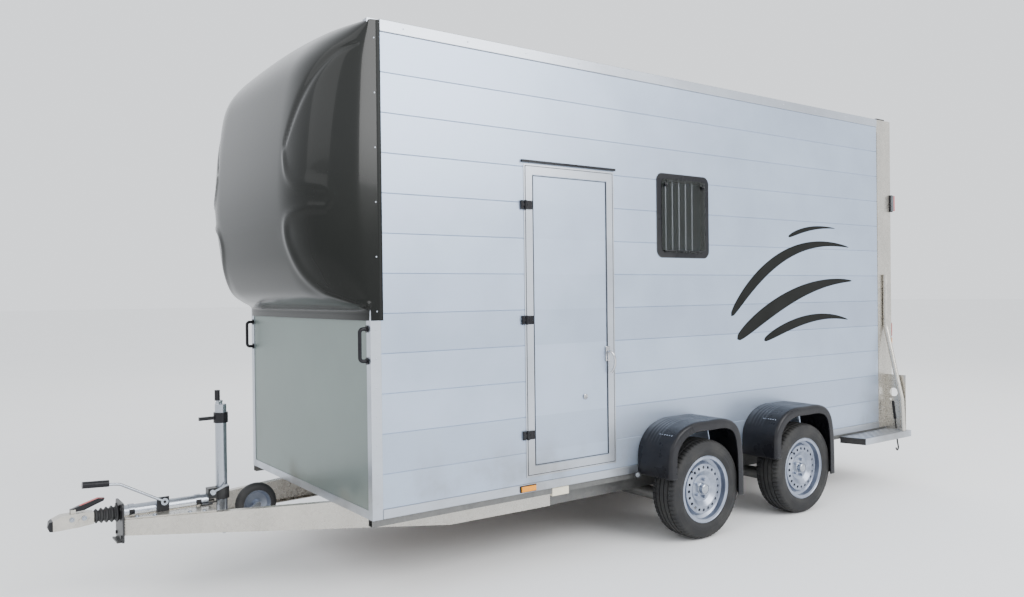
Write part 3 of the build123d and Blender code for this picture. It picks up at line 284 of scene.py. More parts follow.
def wheel_paint():
    """Silver wheel paint with brake dust in patches."""
    finish = Finish("wheel_silver")
    cloud = finish.noise(finish.place(), 11.0, 4.0)
    flake = finish.noise(finish.place(), 420.0, 2.0)
    base = finish.blend(finish.steps(cloud, 0.35, 0.75), colour(0.25, 0.28, 0.35), colour(0.40, 0.44, 0.52))
    finish.shade(Base_Color=base, Metallic=0.75, Roughness=0.30 + (cloud - 0.5) * 0.12)
    return finish.bump(flake, 0.06, 0.2 * MM)


def tread_rubber():
    """Tyre rubber with dusty patches."""
    finish = Finish("tyre")
    grain = finish.noise(finish.place(), 260.0, 2.0)
    cloud = finish.noise(finish.place(), 9.0, 4.0)
    base = finish.blend(finish.steps(cloud, 0.35, 0.75), colour(0.008, 0.008, 0.009),
                        colour(0.028, 0.027, 0.025))
    finish.shade(Base_Color=base, Roughness=0.72 + (cloud - 0.5) * 0.2)
    return finish.bump(grain, 0.3, 0.4 * MM)


def make_finishes():
    """Every finish of the trailer by name."""
    silver = (0.47, 0.56, 0.70)
    made = {
        "board_aluminium": brushed_metal("board_aluminium", silver, (0.38, 0.45, 0.57), 0.36, 0.70, 0.30),
        # Grey-green front sheet, made darker than the boards as painted shade of the front face.
        "shaded_front_sheet": brushed_metal("shaded_front_sheet", (0.22, 0.265, 0.25), (0.17, 0.205, 0.195), 0.40, 0.60),
        "trim_aluminium": brushed_metal("trim_aluminium", (0.56, 0.60, 0.66), (0.42, 0.45, 0.50),
                                        0.30, 0.88),
        "galvanised": galvanised("galvanised", (0.42, 0.40, 0.36), (0.66, 0.63, 0.57), 0.24),
        # Zinc darkened to stand in for the shade under the body: painted shade on the chassis and axle
        # frames.
        "painted_shade_zinc": galvanised("painted_shade_zinc", (0.10, 0.10, 0.10), (0.24, 0.24, 0.23), 0.45),
        "dark_steel": coated("dark_steel", (0.010, 0.010, 0.011), 0.42, 90.0, 0.5, 0.05, 0.15),
        "zinc": plated("zinc", (0.42, 0.45, 0.50), 0.20),
        "chrome": plated("chrome", (0.50, 0.51, 0.53), 0.06),
        "floor_ply": plywood(),
        "rubber": coated("rubber", (0.008, 0.008, 0.009), 0.58, 160.0, 0.5, 0.0, 0.12),
        "rubber_panel": coated("rubber_panel", (0.030, 0.030, 0.032), 0.60, 120.0, 0.6),
        "gloss_nose": nose_gelcoat(),
        "roof_white": coated("roof_white", (0.62, 0.63, 0.64), 0.45, 60.0, 0.3, 0.2),
        "black_plastic": coated("black_plastic", (0.004, 0.004, 0.006), 0.28, 210.0, 0.10, 0.02, 0.03, 0.22),
        "tinted_glass": tinted_glass(),
        "amber_lens": lens("amber_lens", (1.0, 0.36, 0.0)),
        "red_lens": lens("red_lens", (0.55, 0.02, 0.02)),
        "clear_lens": lens("clear_lens", (0.20, 0.22, 0.24)),
        "wheel_silver": wheel_paint(),
        "tyre": tread_rubber(),
        "graphic": coated("graphic", (0.0015, 0.0018, 0.001), 0.55, 120.0, 0.05, 0.0, 0.0, 0.12),
        "cream_plastic": coated("cream_plastic", (0.62, 0.58, 0.46), 0.45, 120.0, 0.1, 0.0, 0.1),
        "red_stripe": coated("red_stripe", (0.42, 0.015, 0.012), 0.40, 120.0, 0.2, 0.2),
    }
    return {name: finish.material for name, finish in made.items()}


FINISHES = make_finishes()


# ---------------------------------------------------------------- mesh helpers

def add_piece(name, mesh, body, slot, finish=None, angle=35.0):
    """Put a finished mesh into the scene, on a body, with its finish."""
    piece = bpy.data.objects.new(name, mesh)
    bpy.context.scene.collection.objects.link(piece)
    if not mesh.materials:
        mesh.materials.append(FINISHES[finish or slot])
    soften(mesh, angle)
    if body:
        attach(piece, body)
    return piece


def soften(mesh, angle):
    """Smooth shading, with edges sharper than the angle kept sharp."""
    for polygon in mesh.polygons:
        polygon.use_smooth = True
    mesh.set_sharp_from_angle(angle=radians(angle))


def mesh_from(name, build):
    """Mesh made by a function that fills an empty bmesh."""
    shape = bmesh.new()
    build(shape)
    bmesh.ops.recalc_face_normals(shape, faces=shape.faces)
    mesh = bpy.data.meshes.new(name)
    shape.to_mesh(mesh)
    shape.free()
    return mesh


def add_grid(shape, rows, close=False):
    """Quads between rows of points; close joins each row's end to its start."""
    verts = [[shape.verts.new(point) for point in row] for row in rows]
    for upper, lower in zip(verts, verts[1:]):
        count = len(upper) if close else len(upper) - 1
        for index in range(count):
            after = (index + 1) % len(upper)
            shape.faces.new((upper[index], upper[after], lower[after], lower[index]))
    return verts


def add_turning(shape, profile, centre, direction, segments):
    """Solid of revolution: profile holds (distance along the axis, radius) pairs."""
    turn = Vector((0, 0, 1)).rotation_difference(Vector(direction)).to_matrix()
    centre = Vector(centre)
    rows = []
    for along, radius in profile:
        row = []
        for index in range(segments):
            angle = 2 * pi * index / segments
            spoke = max(radius, 1e-5)
            row.append(centre + turn @ Vector((spoke * cos(angle), spoke * sin(angle), along)))
        rows.append(row)
    verts = add_grid(shape, rows, close=True)
    shape.faces.new(verts[0][::-1])
    shape.faces.new(verts[-1])


def add_box(shape, low, high, chamfer=0.0):
    """Box between two corners, with its edges taken off."""
    made = bmesh.ops.create_cube(shape, size=1.0)
    size = Vector(high) - Vector(low)
    middle = (Vector(high) + Vector(low)) / 2
    for vert in made["verts"]:
        vert.co = Vector((vert.co.x * size.x, vert.co.y * size.y, vert.co.z * size.z)) + middle
    if chamfer:
        edges = list({edge for vert in made["verts"] for edge in vert.link_edges})
        bmesh.ops.bevel(shape, geom=edges, offset=chamfer, segments=2, affect="EDGES", profile=0.6)


def add_tube(shape, points, radius, segments=14, across=1.0, closed=False):
    """Round bar along a line of points; across widens it along the trailer."""
    rows = []
    count = len(points)
    for index, point in enumerate(points):
        before = points[index - 1] if closed or index else points[0]
        after = points[(index + 1) % count] if closed or index < count - 1 else points[-1]
        along = (after - before).normalized()
        side = Vector((1, 0, 0)) if abs(along.x) < 0.7 else Vector((0, 0, 1))
        first = along.cross(side).normalized()
        second = along.cross(first).normalized() * across
        angles = [2 * pi * k / segments for k in range(segments)]
        rows.append([point + (first * cos(a) + second * sin(a)) * radius for a in angles])
    if closed:
        rows.append(rows[0])
    verts = add_grid(shape, rows, close=True)
    if closed:
        bmesh.ops.remove_doubles(shape, verts=verts[0] + verts[-1], dist=1e-6)
    else:
        shape.faces.new(verts[0][::-1])
        shape.faces.new(verts[-1])


def add_border(shape, low, high, width):
    """Four flat strips round the inside of a rectangle that stands along the trailer."""
    x0, y0, z0 = low
    x1, y1, z1 = high
    add_box(shape, (x0, y0, z0), (x0 + width, y1, z1))
    add_box(shape, (x1 - width, y0, z0), (x1, y1, z1))
    add_box(shape, (x0 + width, y0, z0), (x1 - width, y1, z0 + width))
    add_box(shape, (x0 + width, y0, z1 - width), (x1 - width, y1, z1))


def rounded_loop(x0, x1, z0, z1, y, radius):
    """Points round a rectangle with round corners, on a wall."""
    points = []
    for number, (x, z) in enumerate(((x1 - radius, z1 - radius), (x0 + radius, z1 - radius),
                                     (x0 + radius, z0 + radius), (x1 - radius, z0 + radius))):
        for step in range(9):
            angle = (number + step / 8) * pi / 2
            points.append(Vector((x + radius * cos(angle), y, z + radius * sin(angle))))
    return points


def dome_profile(radius, height):
    """Profile of a low rivet head."""
    return [(-0.2 * height, radius), (0.25 * height, radius * 0.96), (0.7 * height, radius * 0.72),
            (height, radius * 0.25)]


def curve_points(points, count):
    """Points along a smooth curve through the given ones, the ends included."""
    result = []
    spans = len(points) - 1
    for step in range(count + 1):
        place = step / count * spans
        index = min(int(place), spans - 1)
        t = place - index
        quad = [Vector(points[min(max(index + k, 0), spans)]) for k in (-1, 0, 1, 2)]
        a, b, c, d = quad
        result.append(0.5 * ((2 * b) + (c - a) * t + (2 * a - 5 * b + 4 * c - d) * t * t
                             + (3 * b - a - 3 * c + d) * t ** 3))
    return result


def paint(node, rules, rest):
    """Give a CAD node several finishes: the first rule that fits a face's middle picks its finish."""
    piece = frame["nodes"][node]
    mesh = piece.data
    mesh.materials.clear()
    names = [name for name, test in rules] + [rest]
    for name in names:
        mesh.materials.append(FINISHES[name])
    for polygon in mesh.polygons:
        fits = [index for index, (name, test) in enumerate(rules) if test(polygon.center)]
        polygon.material_index = fits[0] if fits else len(rules)


# ---------------------------------------------------------------- settings

class TrailerStage(bpy.types.PropertyGroup):
    """Camera and light."""
    camera_place: FloatVectorProperty(name="Camera place", description="Where the camera stands", size=3,
                                      default=(-3.556, -4.617, 1.531), subtype="TRANSLATION", unit="LENGTH")
    camera_yaw: FloatProperty(name="Camera yaw", description="Turn from straight across the trailer",
                              default=0.6261, subtype="ANGLE")
    camera_pitch: FloatProperty(name="Camera pitch", description="Tilt above level", default=-0.0059,
                                subtype="ANGLE")
    camera_roll: FloatProperty(name="Camera roll", description="Lean to one side", default=-0.0115,
                               subtype="ANGLE")
    lens_length: FloatProperty(name="Lens", description="Focal length on a 36 mm frame, in millimetres",
                               default=29.42)
    key_power: FloatProperty(name="Key light", description="Power of the light on the long side, in watts",
                             default=420.0)
    sky_strength: FloatProperty(name="Sky strength", description="Brightness of the soft surrounding light",
                                default=1.45)


class TrailerNose(bpy.types.PropertyGroup):
    """Moulded nose."""
    wall: FloatProperty(name="Wall", description="Thickness of the shell", default=4.5 * MM, unit="LENGTH")
    corner: FloatProperty(name="Corner", description="How far the corner curve runs in from the side",
                          default=0.42, unit="LENGTH")
    crown: FloatProperty(name="Crown", description="Rise of the top's middle above its sides", default=0.065,
                         unit="LENGTH")
    swirl_depth: FloatProperty(name="Swirl depth", description="Height of the moulded swirl",
                               default=10 * MM, unit="LENGTH")


class TrailerMudguard(bpy.types.PropertyGroup):
    """Mudguards."""
    edge_radius: FloatProperty(name="Edge radius", description="Rounding of the outer edge", default=22 * MM,
                               unit="LENGTH")
    skirt: FloatProperty(name="Skirt", description="Height of the outer lip", default=58 * MM, unit="LENGTH")


class TrailerTyre(bpy.types.PropertyGroup):
    """Tyres."""
    blocks: IntProperty(name="Tread blocks", description="Shoulder blocks round one tyre", default=64,
                        min=20)
    block_depth: FloatProperty(name="Block depth", description="Depth of the cuts between blocks",
                               default=6 * MM, unit="LENGTH")


SETTINGS = {"trailer_stage": TrailerStage, "trailer_nose": TrailerNose, "trailer_mudguard": TrailerMudguard,
            "trailer_tyre": TrailerTyre}


# ---------------------------------------------------------------- stage

class TRAILER_OT_stage(bpy.types.Operator):
    """Pale floor, soft light and the camera"""
    bl_idname = "trailer.stage"
    bl_label = "Stage"

    def execute(self, context):
        settings = context.scene.trailer_stage
        self.camera(context, settings)
        self.floor(context)
        self.light(context, settings)
        return {"FINISHED"}

    def camera(self, context, settings):
        """Camera from its place and its three angles."""
        yaw, pitch, roll = settings.camera_yaw, settings.camera_pitch, settings.camera_roll
        forward = Vector((sin(yaw) * cos(pitch), cos(yaw) * cos(pitch), sin(pitch)))
        right = Vector((cos(yaw), -sin(yaw), 0))
        up = right.cross(forward)
        leaned_right = right * cos(roll) + up * sin(roll)
        leaned_up = up * cos(roll) - right * sin(roll)
        data = bpy.data.cameras.new("camera")
        data.lens = settings.lens_length
        data.sensor_width = 36.0
        data.clip_end = 200.0
        camera = bpy.data.objects.new("camera", data)
        context.scene.collection.objects.link(camera)
        turn = Matrix((leaned_right, leaned_up, -forward)).transposed().to_4x4()
        camera.matrix_world = Matrix.Translation(Vector(settings.camera_place)) @ turn
        context.scene.camera = camera

    def floor(self, context):
        """Large pale floor."""
        reach = 120.0

        def build(shape):
            add_grid(shape, [[Vector((x, y, 0)) for x in (-reach, reach)] for y in (-reach, reach)])
        mesh = mesh_from("floor", build)
        finish = Finish("studio_floor")
        cloud = finish.noise(finish.place(), 0.4, 2.0)
        finish.shade(Base_Color=finish.blend(cloud, colour(0.92, 0.92, 0.92), colour(0.95, 0.95, 0.94)),
                     Roughness=0.9)
        mesh.materials.append(finish.material)
        soften(mesh, 60)
        floor = bpy.data.objects.new("floor", mesh)
        context.scene.collection.objects.link(floor)

    def light(self, context, settings):
        """Soft sky, a broad key on the long side and a weak fill on the front."""
        world = bpy.data.worlds.new("sky")
        world.use_nodes = True
        back = world.node_tree.nodes["Background"]
        back.inputs[0].default_value = colour(0.93, 0.96, 1.0)
        back.inputs[1].default_value = settings.sky_strength
        context.scene.world = world
        for name, place, aim, size, power in (
            ("key", (2.5, -9.0, 6.5), (0.6, 0.0, 1.2), 7.0, settings.key_power * 2.2),
            ("front", (-9.5, -2.5, 8.0), (-1.7, 0.0, 1.6), 9.0, settings.key_power * 0.55),
            ("back", (6.0, 7.0, 7.0), (0.0, 0.0, 1.0), 6.0, settings.key_power * 0.5),
        ):
            data = bpy.data.lights.new(name, "AREA")
            data.shape = "SQUARE"
            data.size = size
            data.energy = power
            lamp = bpy.data.objects.new(name, data)
            lamp.location = place
            lamp.rotation_euler = (Vector(aim) - Vector(place)).to_track_quat("-Z", "Y").to_euler()
            context.scene.collection.objects.link(lamp)


# ---------------------------------------------------------------- finishes on the CAD pieces

SHARP_EDGED = {
    "side_rails": 1.5, "front_posts": 2.5, "front_panel": 1.5, "rear_portal": 3.0, "door_frame": 1.5,
    "side_door": 2.0, "window_frames": 2.0, "drawbar_head_plate": 2.0, "drawbar_beam_left": 2.0,
    "drawbar_beam_right": 2.0, "coupling_head": 4.0, "coupling_handle": 2.5, "jockey_clamp": 2.0,
    "rear_ramp": 2.0, "top_flap": 2.0, "side_platforms": 2.0, "jockey_crank": 1.5, "chassis_frame": 2.0,
    "axle_frame": 2.0, "door_hinge_pins": 1.5, "window_pane_left": 1.0, "window_pane_right": 1.0,
}


class TRAILER_OT_finishes(bpy.types.Operator):
    """Finish, smooth shading and eased edges on every CAD piece"""
    bl_idname = "trailer.finishes"
    bl_label = "Finishes on the frame"

    def execute(self, context):
        slots = {entry["node"]: entry["material_slot"] for entry in frame["record"]["subparts"]}
        for name, piece in frame["nodes"].items():
            piece.data.materials.clear()
            piece.data.materials.append(FINISHES[slots[name]])
            soften(piece.data, 32)
            if name in SHARP_EDGED:
                ease = piece.modifiers.new("eased_edges", "BEVEL")
                ease.width = SHARP_EDGED[name] * MM
                ease.segments = 2
                ease.limit_method = "ANGLE"
                ease.angle_limit = radians(40)
                ease.harden_normals = True
        self.two_tone()
        return {"FINISHED"}

    def two_tone(self):
        """Pieces made of more than one material."""
        sill_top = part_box("front_panel")[0].z + 0.0432
        # Above the sill the front panel takes the darkened sheet: painted shade of the front face.
        paint("front_panel", [("trim_aluminium", lambda p: p.z < sill_top)], "shaded_front_sheet")
        leaf_low, leaf_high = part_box("side_door")
        border = 0.047
        leaf_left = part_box("door_frame")[0].x + 0.029
        leaf_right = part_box("door_frame")[1].x - 0.021
        paint("side_door", [
            ("black_plastic", lambda p: p.y < -HALF_WIDTH - 4.6 * MM),
            ("board_aluminium", lambda p: leaf_left + border < p.x < leaf_right - border
             and leaf_low.z + border < p.z < leaf_high.z - border),
        ], "trim_aluminium")
        grip_low, grip_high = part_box("handbrake_lever")
        paint("handbrake_lever", [
            ("black_plastic", lambda p: p.x < grip_low.x + 0.122 and p.z > grip_high.z - 0.042)], "zinc")
        wheel_low, wheel_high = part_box("jockey_wheel")
        hub = (wheel_low + wheel_high) / 2
        paint("jockey_wheel", [
            ("rubber", lambda p: math.hypot(p.x - hub.x, p.z - hub.z) > 0.0745)], "wheel_silver")
        crank_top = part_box("jockey_crank")[1].z
        paint("jockey_crank", [("black_plastic", lambda p: p.z > crank_top - 0.058)], "zinc")
        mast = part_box("jockey_outer_tube")[1]
        paint("jockey_outer_tube", [
            ("black_plastic", lambda p: mast.z - 0.101 < p.z < mast.z - 0.042
             and math.hypot(p.x - mast.x + 0.038, p.y) > 0.0305)], "zinc")
        handle_low, handle_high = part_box("coupling_handle")
        paint("coupling_handle", [
            ("red_stripe", lambda p: handle_high.x - 0.090 < p.x < handle_high.x - 0.018
             and abs(p.y) < 0.0128 and p.z > handle_low.z + 0.030)], "black_plastic")
        platform_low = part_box("side_platforms")[0]
        step_top = platform_low.z + 0.048
        paint("side_platforms", [
            ("rubber", lambda p: p.x < platform_low.x + 0.056 and p.z < step_top - 0.001),
            ("galvanised", lambda p: p.z > step_top + 0.0005),
        ], "trim_aluminium")
        head_low, head_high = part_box("coupling_head")
        paint("coupling_head", [("black_plastic", lambda p: p.x < head_low.x + 0.030)], "galvanised")
        paint("overrun_housing", [
            ("black_plastic", lambda p: p.y < -0.034 and p.z > 0.43),
            ("zinc", lambda p: p.z > 0.4265),
        ], "galvanised")
        # The chassis and axle frames take the darkened zinc: painted shade under the body.
        paint("chassis_frame", [], "painted_shade_zinc")
        paint("axle_frame", [], "painted_shade_zinc")
        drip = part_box("door_frame")[1].z
        paint("door_frame", [("black_plastic", lambda p: p.z > drip - 0.014)], "trim_aluminium")
        for side in ("left", "right"):
            for axle in ("front", "rear"):
                node = f"wheel_{side}_{axle}"
                low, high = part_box(node)
                hub = (low + high) / 2
                paint(node, [
                    ("dark_steel", lambda p, h=hub: abs(p.y) < abs(h.y) + 0.004
                     and math.hypot(p.x - h.x, p.z - h.z) < 0.172),
                    ("zinc", lambda p, h=hub: math.hypot(p.x - h.x, p.z - h.z) < 0.033),
                ], "wheel_silver")


# ---------------------------------------------------------------- nose

NOSE_PROFILE = (
    # forward reach, height, share of the crown
    (0.016, 1.405, 0.0), (0.020, 1.430, 0.0), (0.024, 1.452, 0.0), (0.060, 1.470, 0.0), (0.130, 1.500, 0.0),
    (0.205, 1.560, 0.0), (0.262, 1.680, 0.0), (0.290, 1.830, 0.0), (0.316, 2.060, 0.0), (0.300, 2.340, 0.0),
    (0.268, 2.560, 0.10), (0.232, 2.690, 0.25), (0.170, 2.778, 0.50), (0.085, 2.845, 0.78),
    (0.0, 2.884, 0.95), (-0.069, 2.893, 1.0),
)
# The swirl's lines on one side: (distance round from the side's rear edge, height), half width and height.
SWIRL_LINES = (
    (((0.12, 2.765), (0.23, 2.72), (0.345, 2.625), (0.435, 2.515), (0.515, 2.385), (0.565, 2.29)),
     0.022, -1.0),
    (((0.57, 2.25), (0.54, 2.155), (0.475, 2.10), (0.36, 2.075), (0.27, 2.05), (0.255, 2.005),
      (0.285, 1.96)), 0.026, 0.8),
    (((0.30, 1.96), (0.40, 1.96), (0.545, 1.915), (0.575, 1.835), (0.525, 1.73), (0.445, 1.63),
      (0.32, 1.545), (0.20, 1.51), (0.08, 1.485)), 0.030, 0.9),
)


class TRAILER_OT_nose(bpy.types.Operator):
    """Moulded nose shell with its swirls"""
    bl_idname = "trailer.nose"
    bl_label = "Nose"

    def execute(self, context):
        settings = context.scene.trailer_nose
        profile = curve_points(NOSE_PROFILE, 180)
        turns = 54
        shell_y = HALF_WIDTH + 5 * MM
        back = 0.069

        def row_of(reach, height, crown):
            points = []
            start = max(0.008, -reach)
            for x in (back, (back + start) / 2 if start < back else back):
                points.append((x, -shell_y))
            for step in range(turns + 1):
                angle = step / turns * pi / 2
                x = start + (-reach - start) * sin(angle) ** 0.95
                y = shell_y - settings.corner * (1 - cos(angle) ** 0.80)
                points.append((x, -y))
            flat = shell_y - settings.corner
            for step in range(1, 12):
                points.append((-reach, -flat + 2 * flat * step / 12))
            points += [(x, -y) for x, y in reversed(points[:turns + 3])]
            row = []
            for x, y in points:
                rise = settings.crown * crown * (1 - (y / shell_y) ** 2)
                row.append(Vector((FRONT_X + x, y, height + rise)))
            return row

        rows = [row_of(*point) for point in profile]
        self.emboss(rows, settings.swirl_depth)
        mesh = mesh_from("nose_shell", lambda shape: add_grid(shape, rows))
        nose = add_piece("nose_shell", mesh, ROOT, "gloss_nose", angle=60)
        thick = nose.modifiers.new("wall", "SOLIDIFY")
        thick.thickness = settings.wall
        thick.offset = -1.0
        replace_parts(nose, "nose_cap")
        return {"FINISHED"}

    def emboss(self, rows, depth):
        """Press the swirl's lines into both corners of the shell."""
        lines = [(curve_points([(a, z, 0) for a, z in path], 12 * len(path)), width, strength)
                 for path, width, strength in SWIRL_LINES]
        for row in rows:
            lengths = [0.0]
            for first, second in zip(row, row[1:]):
                lengths.append(lengths[-1] + (second - first).length)
            moved = list(row)
            for index in range(1, len(row) - 1):
                around = min(lengths[index], lengths[-1] - lengths[index])
                if around > 0.70:
                    continue
                along = row[index + 1] - row[index - 1]
                outward = Vector((along.y, -along.x, 0)).normalized()
                if outward.dot(row[index] - Vector((FRONT_X + 0.3, 0, row[index].z))) < 0:
                    outward = -outward
                place = Vector((around, row[index].z, 0))
                press = 0.0
                for path, width, strength in lines:
                    gaps = [(place - point).length for point in path]
                    nearest = min(gaps)
                    spot = gaps.index(nearest)
                    taper = 0.35 + 0.65 * sin(pi * spot / (len(path) - 1))
                    press += strength * math.exp(-(nearest / (width * taper)) ** 2)
                moved[index] = row[index] + outward * depth * press
            row[:] = moved


# ---------------------------------------------------------------- mudguards

GUARD_PATH = (
    (-0.343, 0.412), (-0.338, 0.560), (-0.300, 0.640), (-0.230, 0.700), (-0.120, 0.733), (0.015, 0.7345),
    (0.150, 0.733), (0.245, 0.702), (0.300, 0.635), (0.326, 0.520), (0.333, 0.380), (0.333, 0.235),
)


class TRAILER_OT_mudguards(bpy.types.Operator):
    """Moulded mudguards with rounded outer edge and ribs"""
    bl_idname = "trailer.mudguards"
    bl_label = "Mudguards"

    def execute(self, context):
        settings = context.scene.trailer_mudguard
        inner = HALF_WIDTH + 5.5 * MM
        outer = -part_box("fenders")[0].y
        first = True
        for axle in ("front", "rear"):
            low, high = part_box(f"wheel_left_{axle}")
            axle_x = (low.x + high.x) / 2
            for name, side in (("left", -1), ("right", 1)):
                mesh = mesh_from("mudguard", lambda shape: self.shell(
                    shape, axle_x, side, inner, outer, settings))
                guard = add_piece(f"mudguard_{name}_{axle}", mesh, ROOT, "black_plastic", angle=50)
                thick = guard.modifiers.new("wall", "SOLIDIFY")
                thick.thickness = 3.5 * MM
                thick.offset = -1.0
                if first:
                    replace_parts(guard, "fenders")
                    first = False
        return {"FINISHED"}

    def shell(self, shape, axle_x, side, inner, outer, settings):
        """Sweep the guard's cross-section round the wheel."""
        path = curve_points([(x, 0, z) for x, z in GUARD_PATH], 96)
        rows = []
        radius = settings.edge_radius
        for index, point in enumerate(path):
            before, after = path[max(index - 1, 0)], path[min(index + 1, len(path) - 1)]
            run = (after - before).normalized()
            inward = Vector((run.z, 0, -run.x))
            end_fade = min(1.0, min(index, len(path) - 1 - index) / 6)
            section = [(inner, 0.0), (inner + 0.004, 0.0)]
            for rib in range(5):
                centre = inner + 0.045 + rib * 0.026
                lift = 0.0009 * end_fade * (1.0 if 14 < index < 60 else 0.0)
                section += [(centre - 0.010, 0.0), (centre - 0.006, -lift), (centre + 0.006, -lift),
                            (centre + 0.010, 0.0)]
            for step in range(7):
                angle = step / 6 * pi / 2
                section.append((outer - radius + radius * sin(angle), radius * (1 - cos(angle))))
            section += [(outer, radius + (settings.skirt - radius) * share) for share in (0.4, 0.8, 1.0)]
            section.append((outer - 0.006, settings.skirt + 0.003))
            rows.append([Vector((axle_x + point.x, 0, point.z)) + inward * depth + Vector((0, side * y, 0))
                         for y, depth in section])
        add_grid(shape, rows)


# ---------------------------------------------------------------- tyres

class TRAILER_OT_tyres(bpy.types.Operator):
    """Tyres with tread blocks, sipes and side-wall rings"""
    bl_idname = "trailer.tyres"
    bl_label = "Tyres"

    def execute(self, context):
        settings = context.scene.trailer_tyre
        for side_name, side in (("left", -1), ("right", 1)):
            for axle in ("front", "rear"):
                node = f"tyre_{side_name}_{axle}"
                low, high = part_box(node)
                centre = (low + high) / 2
                mesh = mesh_from("tyre", lambda shape: self.carcass(shape, centre, side, settings))
                tyre = add_piece(f"road_tyre_{side_name}_{axle}", mesh, f"wheel_{side_name}_{axle}",
                                 "tyre", angle=28)
                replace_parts(tyre, node)
        return {"FINISHED"}

    def carcass(self, shape, centre, side, settings):
        """One turn of the tyre's section, with the shoulder cut into blocks."""
        half = [
            # along the axle from the middle, radius, cut between blocks
            (0.0, 0.3070, 0), (0.012, 0.3070, 0), (0.013, 0.2995, 0), (0.020, 0.2995, 0),
            (0.021, 0.3068, 0), (0.028, 0.3066, 0.5), (0.043, 0.3060, 0.5), (0.044, 0.2985, 0),
            (0.052, 0.2985, 0), (0.053, 0.3055, 1), (0.066, 0.3040, 1), (0.079, 0.3000, 1),
            (0.086, 0.2930, 0.6), (0.0895, 0.2860, 0), (0.0910, 0.2790, 0), (0.0900, 0.2780, 0),
            (0.0935, 0.2640, 0), (0.0960, 0.2470, 0), (0.0950, 0.2455, 0), (0.0955, 0.2360, 0),
            (0.0920, 0.2230, 0), (0.0860, 0.2130, 0), (0.0850, 0.2080, 0), (0.0780, 0.2040, 0),
            (0.0745, 0.1985, 0), (0.0720, 0.1915, 0), (0.0600, 0.1915, 0), (0.0700, 0.2300, 0),
            (0.0820, 0.2600, 0), (0.0700, 0.2900, 0),
        ]
        section = [(-a, r, c) for a, r, c in reversed(half)] + half[1:]
        turns = settings.blocks * 4
        rows = []
        for index in range(turns):
            angle = 2 * pi * index / turns
            cut = settings.block_depth if index % 4 == 0 else 0.0
            rows.append([
                centre + Vector(((r - cut * c) * cos(angle), side * a, (r - cut * c) * sin(angle)))
                for a, r, c in section
            ])
        rows.append(rows[0])
        verts = add_grid(shape, rows[:-1])
        for index in range(len(section)):
            after = (index + 1) % len(section)
            if after:
                shape.faces.new((verts[-1][index], verts[-1][after], verts[0][after], verts[0][index]))
        for index in range(turns):
            following = (index + 1) % turns
            shape.faces.new((verts[index][-1], verts[following][-1], verts[following][0], verts[index][0]))


# ---------------------------------------------------------------- wall graphic

GRAPHIC_STROKES = (
    # three points of the middle line as (distance behind the front wall, height), and the widest half width
    ((2.70, 1.36), (3.25, 1.98), (4.10, 1.86), 0.050),
    ((2.76, 1.20), (3.45, 1.62), (4.14, 1.60), 0.064),
    ((3.05, 1.18), (3.62, 1.40), (4.08, 1.30), 0.040),
    ((3.34, 1.92), (3.60, 2.02), (3.92, 2.00), 0.020),
)


class TRAILER_OT_graphic(bpy.types.Operator):
    """Plain sweeping strokes of dark film on the long walls"""
    bl_idname = "trailer.graphic"
    bl_label = "Wall graphic"

    def execute(self, context):
        for name, side in (("left", -1), ("right", 1)):
            mesh = mesh_from("graphic", lambda shape: self.strokes(shape, side))
            add_piece(f"wall_graphic_{name}", mesh, ROOT, "black_plastic", "graphic")
        return {"FINISHED"}

    def strokes(self, shape, side):
        """Tapered strokes of film."""
        film_y = side * (HALF_WIDTH + 0.4 * MM)
        for first, middle, last, widest in GRAPHIC_STROKES:
            rows = []
            for step in range(81):
                t = step / 80
                x = (1 - t) ** 2 * first[0] + 2 * t * (1 - t) * middle[0] + t * t * last[0]
                z = (1 - t) ** 2 * first[1] + 2 * t * (1 - t) * middle[1] + t * t * last[1]
                dx = 2 * (1 - t) * (middle[0] - first[0]) + 2 * t * (last[0] - middle[0])
                dz = 2 * (1 - t) * (middle[1] - first[1]) + 2 * t * (last[1] - middle[1])
                size = math.hypot(dx, dz)
                half = widest * math.sqrt(max(sin(pi * t ** 0.75), 0.0)) * (1 - 0.55 * t) + 0.5 * MM
                rows.append([
                    Vector((FRONT_X + x - dz / size * half * k, film_y, z + dx / size * half * k))
                    for k in (-1.0, -0.33, 0.33, 1.0)
                ])
            add_grid(shape, rows)


# ---------------------------------------------------------------- rivets

